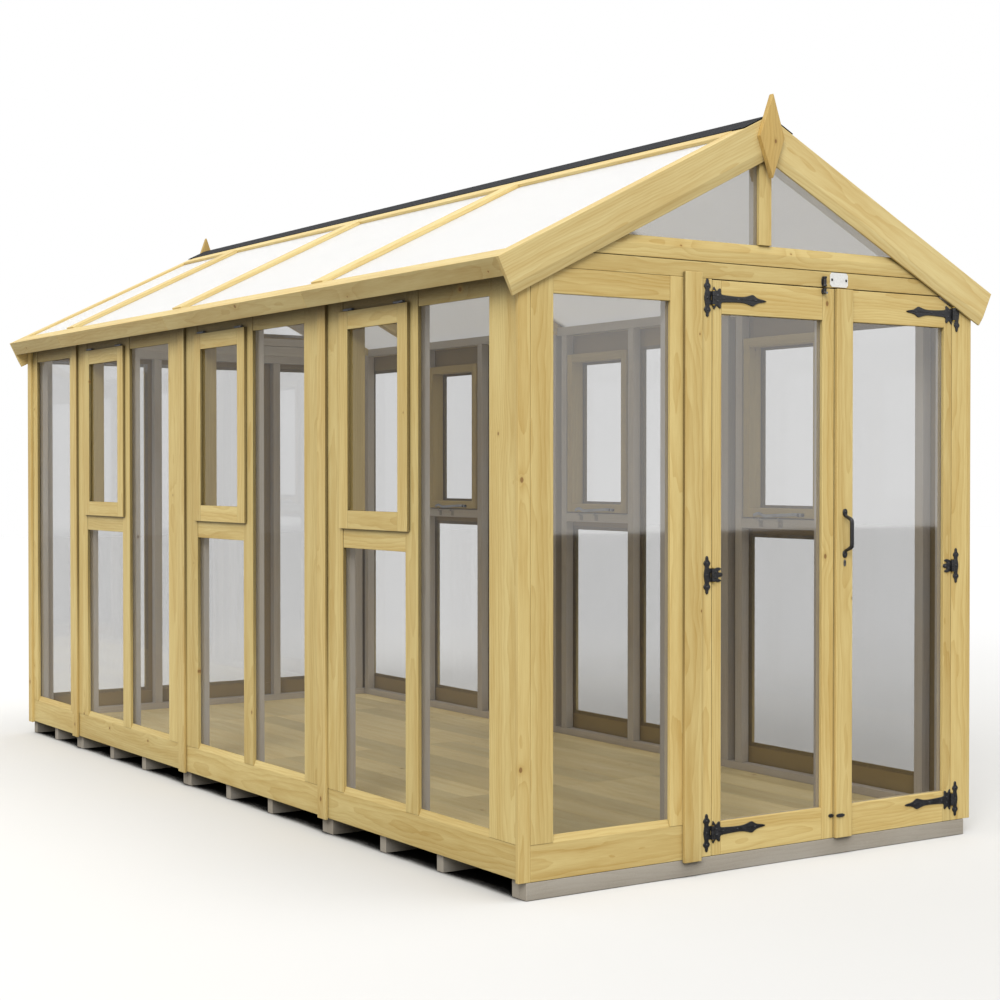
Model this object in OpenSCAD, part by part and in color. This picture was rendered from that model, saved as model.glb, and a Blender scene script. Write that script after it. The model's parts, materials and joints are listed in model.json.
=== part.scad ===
// Timber greenhouse with a glazed apex roof, double doors and six top-hung sashes.
// The doors face -Y. The origin is on the ground, in the middle of the whole footprint.

/* [Footprint] */
// Width over the corner boards
house_w = 1868; // [1700:1:2100]
// Length of one full wall module
module_l = 1180; // [1120:1:1300]
// Number of full wall modules on a long side
module_n = 3; // [2:1:4]
// Length of the short module at the back
short_l = 590; // [560:1:700]
// Distance from an end face to the nearest module line
end_margin = 24; // [20:1:30]
// How far the right wall's modules lie behind the left wall's
right_shift = 26; // [20:1:27]
// Joint gap between timbers that lie against each other
seam = 0.4; // [0.2:0.1:0.8]

/* [Base] */
// Height of a floor joist
joist_h = 58; // [50:1:90]
// Thickness of a floor joist
joist_w = 37; // [32:1:45]
// How far a joist's end is set in from the side of the house
joist_inset = 28; // [26:1:40]
// Distance from a module line to the middle of its first single joist
joist_first = 452; // [420:1:480]
// Distance between the single joists of a module
joist_pitch = 355; // [330:1:380]
// How far the doubled joists lie behind their module line
joist_pair_off = 8; // [0:1:12]
// Thickness of the floorboards
floor_t = 14; // [12:1:20]
// Target width of a floorboard
floor_board_w = 145; // [110:1:180]

/* [Wall boards] */
// Thickness of the outer facing boards
board_t = 12; // [10:1:14]
// Recess of the side wall boards behind the cover strips
side_recess = 12; // [9:1:16]
// How far stiles stand in front of the rails
stile_proud = 1.5; // [0.5:0.5:3]
// Height of the front boards' lower edge above the ground
front_foot = 53; // [45:1:57]
// Height of the side boards' lower edge above the ground
side_foot = 58; // [50:1:64]
// Height of a bottom rail's top edge above the ground
rail_top = 182; // [160:1:220]
// Height of the bevel on a bottom rail
bevel_h = 22; // [14:1:28]
// Depth of the bevel on a bottom rail
bevel_d = 8; // [4:1:9]
// Height of the fixed panes' top edge above the ground
pane_top = 1758; // [1700:1:1770]
// Top of the side wall boards
side_board_top = 1848; // [1815:1:1850]
// Width of a cover strip
strip_w = 59; // [50:1:70]
// Width of a corner board
corner_w = 42; // [38:1:50]
// Thickness of a corner board
corner_t = 16; // [14:1:16]

/* [Side modules] */
// Width of the stile at the near end of a full module
near_stile_w = 146; // [130:1:160]
// Width of a fixed pane
pane_w = 408; // [380:1:440]
// Width of the mullion beside the sash
mullion_w = 78; // [70:1:90]
// Width of the pane under the sash
low_pane_w = 412; // [380:1:440]
// Width of the board at a module's far end
far_stile_w = 136; // [120:1:150]
// Height of the lower pane's top edge above the ground
low_pane_top = 986; // [940:1:1000]
// Height of the transom under the sash
transom_h = 75; // [64:1:90]
// Width of the pane in the short module
short_pane_w = 432; // [380:1:460]

/* [Inner frame] */
// Width of a stud
stud_w = 38; // [34:1:42]
// Depth of a stud
stud_d = 38; // [34:1:39]
// Distance from the far edge of a module's lower pane to its stud
stud_back = 15; // [8:1:20]
// Height of the inner bottom rail
sole_h = 30; // [26:1:38]
// Height of the inner top rail
plate_h = 37; // [30:1:44]
// Height of the inner rail at the transom
mid_rail_h = 38; // [30:1:42]
// Top of the side walls' inner top rail
plate_top = 1886; // [1870:1:1887]

/* [Glazing] */
// Thickness of a pane
glass_t = 4; // [3:1:5]
// How far a pane laps behind its boards
glass_lap = 15; // [8:1:20]

/* [Sashes] */
// Width of a sash over its face
sash_w = 451; // [440:1:470]
// How far a sash laps down over its transom
sash_lap = 10; // [6:1:20]
// Upper edge of a sash above the ground
sash_top = 1775; // [1770:1:1780]
// How far a sash sits towards the near end from the middle of its opening
sash_off = 8; // [0:1:12]
// Width of the sash members
sash_member = 61; // [50:1:68]
// Thickness of the sash face frame
sash_face_t = 10.1; // [8:0.1:10.1]
// Width of the sash's inner frame members
sash_inner_w = 35; // [30:1:40]
// How far the sash's inner frame reaches in past the studs
sash_in_proud = 8; // [4:1:9]
// Clearance below the sash's inner frame, which swings past the transom
sash_rise = 5; // [4:0.5:8]
// Running clearance around the sash's inner frame
sash_gap = 3; // [2.5:0.5:5]
// Length of a casement stay
stay_l = 290; // [220:1:300]

/* [Front wall] */
// Width of the board from the side of the house to the fixed front pane
front_side_w = 122; // [115:1:140]
// Width of the board from the fixed front pane to the panel joint
joint_board_w = 82; // [76:1:90]
// Width of the board from the panel joint to the door opening
door_board_w = 82; // [76:1:90]
// Width of the board from the door opening to the right side of the house
door_side_w = 92; // [90:1:106]
// Width of the front cover strip
front_strip_w = 67; // [60:1:76]
// Height of the door head above the ground
door_head = 1834; // [1800:1:1840]
// Top of the front wall
front_top = 1884; // [1870:1:1890]

/* [Doors] */
// Running gap around the doors
door_gap = 2.2; // [2:0.1:4]
// Width of the left door's half of the opening
left_door_w = 513; // [505:1:522]
// Width of the right door's half of the opening
right_door_w = 544; // [536:1:552]
// Thickness of the doors' facing boards
door_face_t = 14; // [12:1:16]
// Depth of the doors' inner frame
door_inner_d = 25; // [20:1:28]
// Set-back of the inner frame at the meeting edges
door_relief = 6; // [5:1:9]
// Width of a door's hinge stile
door_hinge_stile = 36; // [34:1:46]
// Width of the left door's meeting stile
left_meeting_w = 50; // [46:1:60]
// Width of the right door's meeting stile
right_meeting_w = 75; // [70:1:84]
// Height of a door's top and bottom rails
door_rail_h = 103; // [90:1:120]
// Thickness of the planted board on the right door
planted_t = 12; // [8:1:14]

/* [Hinges and locks] */
// Height of the lower hinges above the ground
hinge_low_z = 126; // [115:1:130]
// Height of the middle hinges above the ground
hinge_mid_z = 922; // [860:1:960]
// Height of the upper hinges above the ground
hinge_high_z = 1775; // [1760:1:1775]
// Radius of a hinge barrel
barrel_r = 6; // [5:0.5:7]
// Radius of a hinge pin
pin_r = 3; // [2.5:0.5:3.5]
// Length of a hinge barrel
barrel_l = 42; // [36:1:42]
// Thickness of the hinge plates
leaf_t = 3; // [2:0.5:4]
// Height of a fixed hinge leaf
leaf_h = 114; // [100:1:120]
// Reach of a strap from the hinge axis
strap_l = 219; // [180:1:260]
// Height of the handle's middle above the ground
handle_z = 1041; // [1000:1:1080]
// Distance between the handle's feet
handle_pitch = 138; // [110:1:160]
// Radius of the handle's bar
handle_r = 6; // [5:0.5:7]
// Projection of the handle from the planted board
handle_out = 40; // [36:1:45]
// Travel of the lock bolt
lock_travel = 20; // [16:1:22]
// Travel of the top bolt
bolt_travel = 15; // [12:1:16]
// Radius of the top bolt's rod
bolt_r = 4; // [3:0.5:4.5]

/* [Roof] */
// Height of the roof plane at the ridge
ridge_z = 2354; // [2330:1:2400]
// Roof pitch in degrees
pitch = 26.36; // [26:0.02:26.6]
// Overhang of the roof beyond the side of the house
eaves_out = 81; // [74:1:96]
// Depth of a rafter, square to the slope
rafter_d = 61; // [50:1:66]
// Width of a rafter
rafter_w = 46; // [40:1:50]
// How far an end rafter stands in front of the wall
verge = 4; // [3:1:12]
// Depth of the roof sheets' top face below the roof plane
sheet_drop = 10; // [8:1:12]
// Thickness of a roof sheet
sheet_t = 6; // [4:1:8]
// Width of a roof cover strip
roof_strip_w = 84; // [70:1:96]
// Height of a roof cover strip above the roof plane
roof_strip_rise = 6; // [4:1:10]
// Width of the eaves rail, along the slope
eaves_rail_w = 58; // [50:1:64]
// Depth of the eaves rail, square to the slope
eaves_rail_d = 40; // [34:1:44]
// Thickness of the fascia
fascia_t = 14.5; // [12:0.5:18]
// Height of the fascia, square to the slope
fascia_h = 61; // [54:1:70]
// Half width of the ridge board
ridge_half = 31; // [27:1:34]
// Depth of the ridge board below the roof plane
ridge_board_d = 92; // [80:1:110]
// Distance of the ridge battens' lower edge from the ridge, across the house
batten_out = 150; // [130:1:170]
// Height of the ridge battens above the roof plane
batten_rise = 2; // [1:0.5:4]
// Thickness of the ridge cap's metal
cap_t = 2; // [1.5:0.5:3]
// Half width of the ridge cap
cap_half = 101; // [85:1:110]
// Half width of the flat along the ridge cap's top
cap_flat = 12; // [11:1:16]

/* [Gable ends] */
// Height of the tie beam
tie_h = 64; // [54:1:72]
// Gap between the wall top and the tie beam
tie_gap = 2; // [1:1:3]
// Width of the king post
king_w = 50; // [44:1:60]
// How far the king post stands in front of the wall
king_proud = 3; // [0:0.5:3.5]
// Height of a bargeboard, square to the slope
barge_h = 122; // [110:1:135]
// Thickness of a bargeboard
barge_t = 14; // [12:1:18]
// Height of the bevel along a bargeboard's lower edge
barge_bevel_h = 30; // [20:1:40]
// Depth of that bevel
barge_bevel_d = 6; // [3:1:8]
// Width of a finial
finial_w = 101; // [90:1:120]
// Height of a finial
finial_h = 264; // [220:1:280]
// Height of a finial's widest point above its tip below
finial_waist = 129; // [110:1:150]
// Thickness of a finial at its middle ridge
finial_t = 20; // [16:1:24]
// Thickness of a finial at its side corners
finial_edge = 16; // [10:1:16]

/* [Hidden] */
$fn = 48;

wood = [0.80, 0.71, 0.47];
grey_wood = [0.51, 0.48, 0.44];
base_wood = [0.69, 0.65, 0.59];
orange_wood = [0.90, 0.75, 0.42];
black = [0.10, 0.10, 0.11];
pane = [0.82, 0.84, 0.85, 0.45];
steel = [0.55, 0.57, 0.60];

// Overall lengths and the two faces that everything is measured from
house_l = 2 * end_margin + module_n * module_l + short_l;
half_w = house_w / 2;
roof_reach = half_w + eaves_out;
finial_y = verge + barge_t + 2 * seam;
front_reach = planted_t + seam + handle_out;
back_reach = finial_y + finial_t;
front_y = -(house_l + back_reach - front_reach) / 2;
floor_top = joist_h + floor_t;
joint_ys = [for (i = [0 : module_n]) end_margin + i * module_l];
// The module lines of one side wall
function wall_ys(right) = [for (y = joint_ys) y + (right ? right_shift : 0)];

// Slope helpers: a point at distance s down the slope and depth d below the roof plane
slope_c = cos(pitch);
slope_s = sin(pitch);
slope_t = tan(pitch);
function roof_pt(s, d) = [s * slope_c - d * slope_s, ridge_z - s * slope_s - d * slope_c];
function roof_z(x, d) = ridge_z - x * slope_t - d / slope_c;
function roof_x(z, d) = (ridge_z - d / slope_c - z) / slope_t;
eaves_s = roof_reach / slope_c;
rail_s1 = eaves_s - fascia_t - seam;
rail_s0 = rail_s1 - eaves_rail_w;
sheet_d = sheet_drop + sheet_t + seam;
sheet_s0 = (ridge_half + 2 * seam + (sheet_drop + sheet_t) * slope_s) / slope_c;
// The ridge board's top, how far it falls to its sides, and its foot
ridge_top = ridge_z - 5;
ridge_slope = 10;
ridge_foot = ridge_top - ridge_board_d;
// Depth line that stays clear below the rafters
under_d = rafter_d + seam;

// Inner faces of the walls, inwards from the side of the house and from the end face
side_glass_x = side_recess + board_t + seam;
side_stud_x = side_glass_x + glass_t + seam;
side_inner_x = side_stud_x + stud_d;
end_glass_y = board_t + seam;
end_stud_y = end_glass_y + glass_t + seam;
end_inner_y = end_stud_y + stud_d;
seat_z = roof_z(half_w - side_inner_x, rafter_d);
stud_top = plate_top - plate_h - seam;

// Positions within a full side module: the panes share what a longer or shorter module adds
// to the sum of the widths given for its boards and panes
module_given = near_stile_w + pane_w + mullion_w + low_pane_w + far_stile_w;
module_extra = (module_l - module_given) / 2;
sash_face_w = sash_w + module_extra;
pane_t1 = near_stile_w + pane_w + module_extra;
low_t0 = pane_t1 + mullion_w;
low_t1 = low_t0 + low_pane_w + module_extra;
sash_t0 = (low_t0 + low_t1) / 2 - sash_face_w / 2 - sash_off;
sash_t1 = sash_t0 + sash_face_w;
transom_top = low_pane_top + transom_h;
sash_foot = transom_top - sash_lap;
// The opening for the sash, wider than the pane below it on the mullion's side
sash_open_t0 = sash_t0 + 7;
sash_open_top = sash_top - 12;
short_t0 = (short_l - short_pane_w) / 2;
short_t1 = short_t0 + short_pane_w;
rail_line = rail_top - bevel_h;

// Sash inner frame and its top hinge
sash_inner_x1 = side_inner_x + sash_in_proud;
sash_axis_x = 4;
sash_axis_z = sash_top + 5;
knuckle_r = 3.5;
knuckle_pin_r = 1.5;
hinge_l = 60;
hinge_in = 59;
// How far a sash's pane laps into its inner frame
sash_glass_lap = 8;
// The casement stays: height, radius of the hub, distance from the side of the house, hub's place
stay_z = sash_foot + 24;
stay_r = 4;
stay_x = sash_inner_x1 + stay_r + seam;
stay_hub = (sash_t0 + sash_t1 - stay_l) / 2 + 10;
// Tops of the cover strips and the corner boards, under the eaves
strip_top = 1830;
corner_top = 1822;

// Front wall's lines from the left side: the door panel goes by the right side of the house,
// and the fixed pane takes the rest
door_x1 = house_w - door_side_w;
door_split = door_x1 - right_door_w;
door_x0 = door_split - left_door_w;
front_joint = door_x0 - door_board_w;
front_pane_x0 = front_side_w;
front_pane_x1 = front_joint - joint_board_w;

// Door openings and leaves
left_x0 = door_x0 + door_gap;
left_x1 = door_split - 1.3;
right_x0 = door_split + 1.3;
right_x1 = door_x1 - door_gap;
door_top = door_head - 3;
door_glass_y = door_face_t + seam;
door_inner_y = door_glass_y + glass_t + seam;
axis_y = -barrel_r - 1;
axis_left = door_x0 + 0.5;
axis_right = door_x1 - 0.5;
planted_w = 70;
// Clearance below the bargeboard, square to the slope
door_clear = 5;
handle_x = right_x0 + 46;
handle_y = -planted_t - seam;
lock_z = 945;
bolt_x = door_split - left_meeting_w;

module box(x0, x1, y0, y1, z0, z1) {
  translate([x0, y0, z0])
    cube([x1 - x0, y1 - y0, z1 - z0]);
}

// A profile drawn in X and Z, run from y0 to y1
module along_y(y0, y1) {
  translate([0, y1, 0])
    rotate([90, 0, 0])
      linear_extrude(y1 - y0)
        children();
}

// A profile drawn in Y and Z, run from x0 to x1
module along_x(x0, x1) {
  translate([x0, 0, 0])
    rotate([90, 0, 90])
      linear_extrude(x1 - x0)
        children();
}

// Children are drawn on the left side: x inwards from the side, y back from the front face
module on_side(right) {
  mirror([right ? 1 : 0, 0, 0])
    translate([-half_w, front_y, 0])
      children();
}

// Children are drawn on the front: x from the left side, y back from the front face
module on_end(back) {
  translate([0, front_y + house_l / 2, 0])
    rotate([0, 0, back ? 180 : 0])
      translate([-half_w, -house_l / 2, 0])
        children();
}

// Children are drawn on the right slope, x from the ridge; both slopes are made
module both_slopes() {
  for (m = [0, 1])
    mirror([m, 0, 0])
      translate([0, front_y, 0])
        children();
}

// A rectangle on the slope, between two distances down it and two depths
module slope_rect(s0, s1, d0, d1) {
  polygon([roof_pt(s0, d0), roof_pt(s1, d0), roof_pt(s1, d1), roof_pt(s0, d1)]);
}

// A bottom rail of a side wall with bevels between its stiles
module side_rail(y0, y1, gaps) {
  box(side_recess, side_recess + board_t, y0, y1, side_foot, rail_line);
  for (g = gaps)
    along_y(g[0] + seam, g[1] - seam)
      polygon([[side_recess, rail_line], [side_recess + board_t, rail_line],
        [side_recess + board_t, rail_top], [side_recess + bevel_d, rail_top]]);
}

// A bottom rail of an end wall with bevels between its stiles
module end_rail(x0, x1, gaps) {
  box(x0, x1, 0, board_t, front_foot, rail_line);
  for (g = gaps)
    along_x(g[0] + seam, g[1] - seam)
      polygon([[0, rail_line], [board_t, rail_line], [board_t, rail_top], [bevel_d, rail_top]]);
}

module side_stile(y0, y1) {
  box(side_recess - stile_proud, side_recess + board_t, y0, y1, rail_line + seam, side_board_top);
}

module side_header(y0, y1, z0) {
  box(side_recess, side_recess + board_t, y0, y1, z0, side_board_top);
}

module floor_joists() {
  pairs = [for (i = [1 : module_n]) for (k = [-1, 1])
    joint_ys[i] + joist_pair_off + k * (joist_w + seam) / 2 - joist_w / 2];
  singles = [for (i = [0 : module_n - 1]) for (k = [0, 1])
    joint_ys[i] + joist_first + k * joist_pitch - joist_w / 2];
  x = half_w - joist_inset;
  color(base_wood)
    translate([0, front_y, 0]) {
      for (y = concat([joist_w + 2 * seam], pairs, singles, [joint_ys[module_n] + short_l / 2]))
        box(-x, x, y, y + joist_w, 0, joist_h);
      for (y = [seam, house_l - seam - joist_w])
        rebated_joist(x, y);
    }
}

// An outer joist, cut down on its outer side to pass under the end wall's boards
module rebated_joist(x, y) {
  lip = corner_t + 1;
  low = front_foot - 1;
  far = y + joist_w;
  along_x(-x, x)
    polygon(y < house_l / 2
      ? [[y, 0], [far, 0], [far, joist_h], [lip, joist_h], [lip, low], [y, low]]
      : [[y, 0], [far, 0], [far, low], [house_l - lip, low], [house_l - lip, joist_h], [y, joist_h]]);
}

module floor_boards() {
  edge = side_glass_x + 1;
  span = house_w - 2 * edge;
  count = round(span / floor_board_w);
  step = span / count;
  ends = concat([end_glass_y + 5], [for (i = [1 : module_n]) joint_ys[i]], [house_l - end_glass_y - 5]);
  color(wood)
    translate([-half_w + edge, front_y, joist_h])
      for (r = [0 : module_n])
        for (i = [0 : count - 1])
          box(i * step, (i + 1) * step - seam, ends[r], ends[r + 1] - seam, 0, floor_t);
}

// Studs and rails of one full side module, from t0 along the wall
module module_frame(t0, first, shift) {
  x0 = side_stud_x;
  x1 = side_inner_x;
  start = first ? end_inner_y + seam - t0 : 0;
  near = near_stile_w - stud_w - 2;
  mullion = sash_open_t0 - stud_w;
  far = low_t1 + stud_back;
  rafter_edge = module_l - shift - rafter_w / 2 - seam;
  plate_end = min(module_l - stud_w - seam, rafter_edge);
  mid_top = transom_top - seam;
  translate([0, t0, 0]) {
    for (t = [start + seam / 2, module_l - stud_w])
      box(x0, x1, t, t + stud_w - seam / 2, floor_top + sole_h + seam, seat_z - seam);
    for (t = [max(near, start + stud_w + seam), mullion, far])
      box(x0, x1, t, min(t + stud_w, module_l - stud_w - seam), floor_top + sole_h + seam, stud_top);
    box(x0, x1, start, module_l - seam, floor_top, floor_top + sole_h);
    box(x0, x1, start + stud_w + seam, plate_end, plate_top - plate_h, plate_top);
    box(x0, x1, sash_open_t0 + seam, far - seam, mid_top - mid_rail_h, mid_top);
  }
}

// Studs and rails of the short side module at the back
module short_frame(t0) {
  x0 = side_stud_x;
  x1 = side_inner_x;
  stop = house_l - end_inner_y - seam - t0;
  last = stop - stud_w;
  translate([0, t0, 0]) {
    for (t = [seam / 2, last])
      box(x0, x1, t, t + stud_w - seam / 2, floor_top + sole_h + seam, seat_z - seam);
    box(x0, x1, short_t0 - stud_w + seam, short_t0, floor_top + sole_h + seam, stud_top);
    box(x0, x1, 0, stop, floor_top, floor_top + sole_h);
    box(x0, x1, stud_w + seam, last - seam, plate_top - plate_h, plate_top);
  }
}

module side_wall_frame(right) {
  color(grey_wood)
    on_side(right) {
      for (i = [0 : module_n - 1])
        module_frame(wall_ys(right)[i], i == 0, right ? right_shift : 0);
      short_frame(wall_ys(right)[module_n]);
    }
}

// Facing boards of one full side module
module module_boards(t0, start) {
  translate([0, t0, 0]) {
    side_rail(start, module_l - seam, [[near_stile_w, pane_t1], [low_t0, low_t1]]);
    side_stile(start, near_stile_w);
    difference() {
      side_stile(pane_t1, low_t0);
      box(0, side_recess + board_t + 1, sash_open_t0, low_t0 + 1, transom_top, sash_open_top);
    }
    side_stile(low_t1, module_l - seam);
    side_header(near_stile_w + seam, pane_t1 - seam, pane_top);
    side_header(low_t0 + seam, low_t1 - seam, sash_open_top);
    box(side_recess, side_recess + board_t, low_t0 + seam, low_t1 - seam, low_pane_top, transom_top);
  }
}

module short_boards(t0, stop) {
  translate([0, t0, 0]) {
    side_rail(0, stop, [[short_t0, short_t1]]);
    side_stile(0, short_t0);
    side_stile(short_t1, stop);
    side_header(short_t0 + seam, short_t1 - seam, pane_top);
  }
}

module side_wall_boards(right) {
  ys = wall_ys(right);
  near = (right ? corner_w : corner_t) + seam - ys[0];
  far = house_l - (right ? corner_t : corner_w) - seam - ys[module_n];
  color(wood)
    on_side(right) {
      for (i = [0 : module_n - 1])
        module_boards(ys[i], i == 0 ? near : 0);
      short_boards(ys[module_n], far);
    }
}

module side_wall_glass(right) {
  x0 = side_glass_x;
  x1 = x0 + glass_t;
  z0 = rail_top - glass_lap;
  color(pane)
    on_side(right) {
      for (t0 = [for (i = [0 : module_n - 1]) wall_ys(right)[i]]) {
        box(x0, x1, t0 + near_stile_w - glass_lap, t0 + pane_t1 + glass_lap, z0, pane_top + glass_lap);
        box(x0, x1, t0 + low_t0 - glass_lap, t0 + low_t1 + glass_lap, z0, low_pane_top + glass_lap);
      }
      translate([0, wall_ys(right)[module_n], 0])
        box(x0, x1, short_t0 - glass_lap, short_t1 + glass_lap, z0, pane_top + glass_lap);
    }
}

// Front wall, measured from the left side: a fixed pane, then the door panel
module front_wall_boards() {
  rail_end = front_joint - seam / 2;
  color(wood)
    on_end(false) {
      end_rail(corner_w + seam, rail_end, [[front_pane_x0, front_pane_x1]]);
      end_stile(corner_w + seam, front_pane_x0, door_head - seam);
      end_stile(front_pane_x1, rail_end, door_head - seam);
      end_header(front_pane_x0 + seam, front_pane_x1 - seam, pane_top, door_head - seam);
      box(front_joint + seam / 2, door_x0, 0, board_t, front_foot, door_head - seam);
      box(door_x1, house_w - corner_t - seam, 0, board_t, front_foot, door_head - seam);
      wall_head();
    }
}

// Back wall, measured from its own left side: three fixed panes
module back_wall_boards() {
  rail_end = front_joint - seam / 2;
  right_end = house_w - corner_t - seam;
  color(wood)
    on_end(true) {
      end_rail(corner_w + seam, rail_end, [[front_pane_x0, front_pane_x1]]);
      end_rail(front_joint + seam / 2, right_end, back_panes);
      end_stile(corner_w + seam, front_pane_x0, door_head - seam);
      end_stile(front_pane_x1, rail_end, door_head - seam);
      end_stile(front_joint + seam / 2, back_panes[0][0], door_head - seam);
      end_stile(back_panes[0][1], back_panes[1][0], door_head - seam);
      end_stile(back_panes[1][1], right_end, door_head - seam);
      for (p = concat([[front_pane_x0, front_pane_x1]], back_panes))
        end_header(p[0] + seam, p[1] - seam, pane_top, door_head - seam);
      wall_head();
    }
}

// Two equal panes fill the wide panel of the back wall
back_pane_w = (house_w - front_joint - 3 * mullion_w - 40) / 2;
back_pane_x = front_joint + mullion_w + 10;
back_panes = [[back_pane_x, back_pane_x + back_pane_w],
  [back_pane_x + back_pane_w + mullion_w, back_pane_x + 2 * back_pane_w + mullion_w]];

module end_stile(x0, x1, z1) {
  box(x0, x1, -stile_proud, board_t, rail_line + seam, z1);
}

module end_header(x0, x1, z0, z1) {
  box(x0, x1, 0, board_t, z0, z1);
}

// The head board over an end wall, its ends cut under the end rafters
module wall_head() {
  low = min(roof_x(door_head, under_d), half_w - side_inner_x);
  high = min(roof_x(front_top, under_d), low);
  translate([half_w, 0, 0])
    along_y(0, board_t)
      polygon([[-low, door_head], [low, door_head], [high, front_top], [-high, front_top]]);
}

module end_wall_frame(back) {
  y0 = end_stud_y;
  y1 = end_inner_y;
  z0 = floor_top + sole_h + seam;
  z1 = door_head - plate_h - seam;
  left = side_stud_x;
  right = house_w - side_stud_x;
  pane_studs = [front_pane_x0 - stud_w - 5, front_pane_x1 + 5];
  back_studs = concat(pane_studs, [back_panes[0][0] - stud_w - 5, back_panes[0][1] + 5,
    back_panes[1][1] + 5]);
  door_studs = concat(pane_studs, [door_x0 - stud_w, door_x1 + 2]);
  head = min(roof_x(front_top, under_d), half_w - left);
  color(grey_wood)
    on_end(back) {
      for (x = back ? back_studs : door_studs)
        box(x, x + stud_w, y0, y1, z0, z1);
      for (span = back ? [[left, right]] : [[left, door_x0], [door_x1 + 2, right]]) {
        box(span[0], span[1], y0, y1, floor_top, floor_top + sole_h);
        box(span[0], span[1], y0, y1, door_head - plate_h, door_head);
      }
      translate([half_w, 0, 0])
        box(-head, head, y0, y1, door_head + seam, front_top);
    }
}

module pane_box(x0, x1) {
  box(x0 - glass_lap, x1 + glass_lap, end_glass_y, end_glass_y + glass_t,
    rail_top - glass_lap, pane_top + glass_lap);
}

// Half of a gable light, from the king post out to the rafter
module gable_light() {
  z0 = front_top + tie_gap + tie_h - glass_lap + seam;
  z1 = ridge_foot - seam;
  x0 = king_w / 2 - glass_lap;
  along_y(end_glass_y, end_glass_y + glass_t)
    polygon([[x0, z0], [roof_x(z0, under_d), z0], [roof_x(z1, under_d), z1], [x0, z1]]);
}

module end_wall_glass() {
  color(pane) {
    on_end(false)
      pane_box(front_pane_x0, front_pane_x1);
    on_end(true)
      for (p = concat([[front_pane_x0, front_pane_x1]], back_panes))
        pane_box(p[0], p[1]);
    for (back = [false, true])
      on_end(back)
        translate([half_w, 0, 0])
          for (m = [0, 1])
            mirror([m, 0, 0])
              gable_light();
  }
}

// Tie beam, king post and inner studs that hold the gable lights
module gable_frame(back) {
  z0 = front_top + tie_gap;
  z1 = z0 + tie_h;
  king_x = king_w / 2;
  inner_x = king_x - 6;
  bevel = 26;
  color(wood)
    on_end(back)
      translate([half_w, 0, 0]) {
        intersection() {
          along_x(-half_w, half_w)
            polygon([[0, z0], [board_t, z0], [board_t, z1], [6, z1], [0, z1 - bevel]]);
          along_y(-1, board_t + 1)
            polygon([[-roof_x(z0, under_d), z0], [roof_x(z0, under_d), z0],
              [roof_x(z1, under_d), z1], [-roof_x(z1, under_d), z1]]);
        }
        box(-king_x, king_x, -king_proud, board_t, z1 + seam, ridge_foot - seam);
        along_y(end_stud_y, end_inner_y)
          polygon([[-roof_x(z0, under_d), z0], [roof_x(z0, under_d), z0],
            [roof_x(z0 + stud_w, under_d), z0 + stud_w], [-roof_x(z0 + stud_w, under_d), z0 + stud_w]]);
        box(-inner_x, inner_x, end_stud_y, end_inner_y, z0 + stud_w + seam, ridge_foot - seam);
      }
}

module side_strip(y, w, z1) {
  box(0, side_recess - stile_proud - seam, y - w / 2, y + w / 2, side_foot - 5, z1);
}

module cover_strips() {
  color(wood) {
    for (right = [false, true])
      on_side(right)
        for (i = [1 : module_n])
          side_strip(wall_ys(right)[i] + 2, strip_w, strip_top);
    for (back = [false, true])
      on_end(back)
        box(front_joint - front_strip_w / 2, front_joint + front_strip_w / 2,
          -stile_proud - seam - board_t, -stile_proud - seam, front_foot - 8, front_top - 34);
  }
}

// Each corner has one board, set around the house in turn
module corner_boards() {
  z1 = corner_top;
  color(wood)
    for (back = [false, true])
      on_end(back) {
        box(0, corner_w, 0, corner_t, front_foot, z1);
        box(house_w - corner_t, house_w, 0, corner_w, front_foot, z1);
      }
}

// The rafter's outline: square to the slope at the top, flat where it crosses the wall
module rafter_outline(top_d) {
  intersection() {
    polygon([roof_pt(0, top_d), roof_pt(rail_s0 - seam, top_d), roof_pt(rail_s0 - seam, rafter_d),
      roof_pt(0, rafter_d)]);
    polygon([[ridge_half + seam, seat_z], [half_w - side_inner_x, seat_z], [roof_reach, seat_z],
      [roof_reach, ridge_z], [ridge_half + seam, ridge_z]]);
  }
}

module rafters() {
  color(orange_wood)
    both_slopes() {
      for (y = [for (i = [1 : module_n]) joint_ys[i]])
        along_y(y - rafter_w / 2, y + rafter_w / 2)
          rafter_outline(sheet_d);
      for (y = [-verge, house_l + verge - rafter_w])
        along_y(y, y + rafter_w)
          rafter_outline(0);
      along_y(-verge, house_l + verge)
        slope_rect(rail_s0, rail_s1, 0, eaves_rail_d);
    }
}

module ridge_board() {
  edge = ridge_top - ridge_slope;
  color(wood)
    translate([0, front_y, 0])
      along_y(-verge, house_l + verge)
        polygon([[-ridge_half, ridge_foot], [ridge_half, ridge_foot], [ridge_half, edge],
          [0, ridge_top], [-ridge_half, edge]]);
}

module roof_sheets() {
  y_in = rafter_w - verge + seam;
  ends = concat([y_in], [for (i = [1 : module_n]) joint_ys[i]], [house_l - y_in]);
  color([0.93, 0.94, 0.95, 0.6])
    both_slopes()
      for (i = [0 : module_n])
        along_y(ends[i], ends[i + 1] - (i < module_n ? seam : 0))
          slope_rect(sheet_s0, rail_s0 - seam, sheet_drop, sheet_drop + sheet_t);
}

// Strips over the joints of the sheets, and a batten along the ridge above them
module roof_cover_strips() {
  batten_s = batten_out / slope_c;
  inset = rafter_w - verge + seam;
  color(wood)
    both_slopes() {
      for (i = [1 : module_n])
        along_y(joint_ys[i] - roof_strip_w / 2, joint_ys[i] + roof_strip_w / 2)
          slope_rect(batten_s + seam, rail_s0 - seam, -roof_strip_rise, sheet_drop - seam);
      along_y(inset, house_l - inset)
        slope_rect(sheet_s0, batten_s, -batten_rise, sheet_drop - seam);
    }
}

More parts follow.
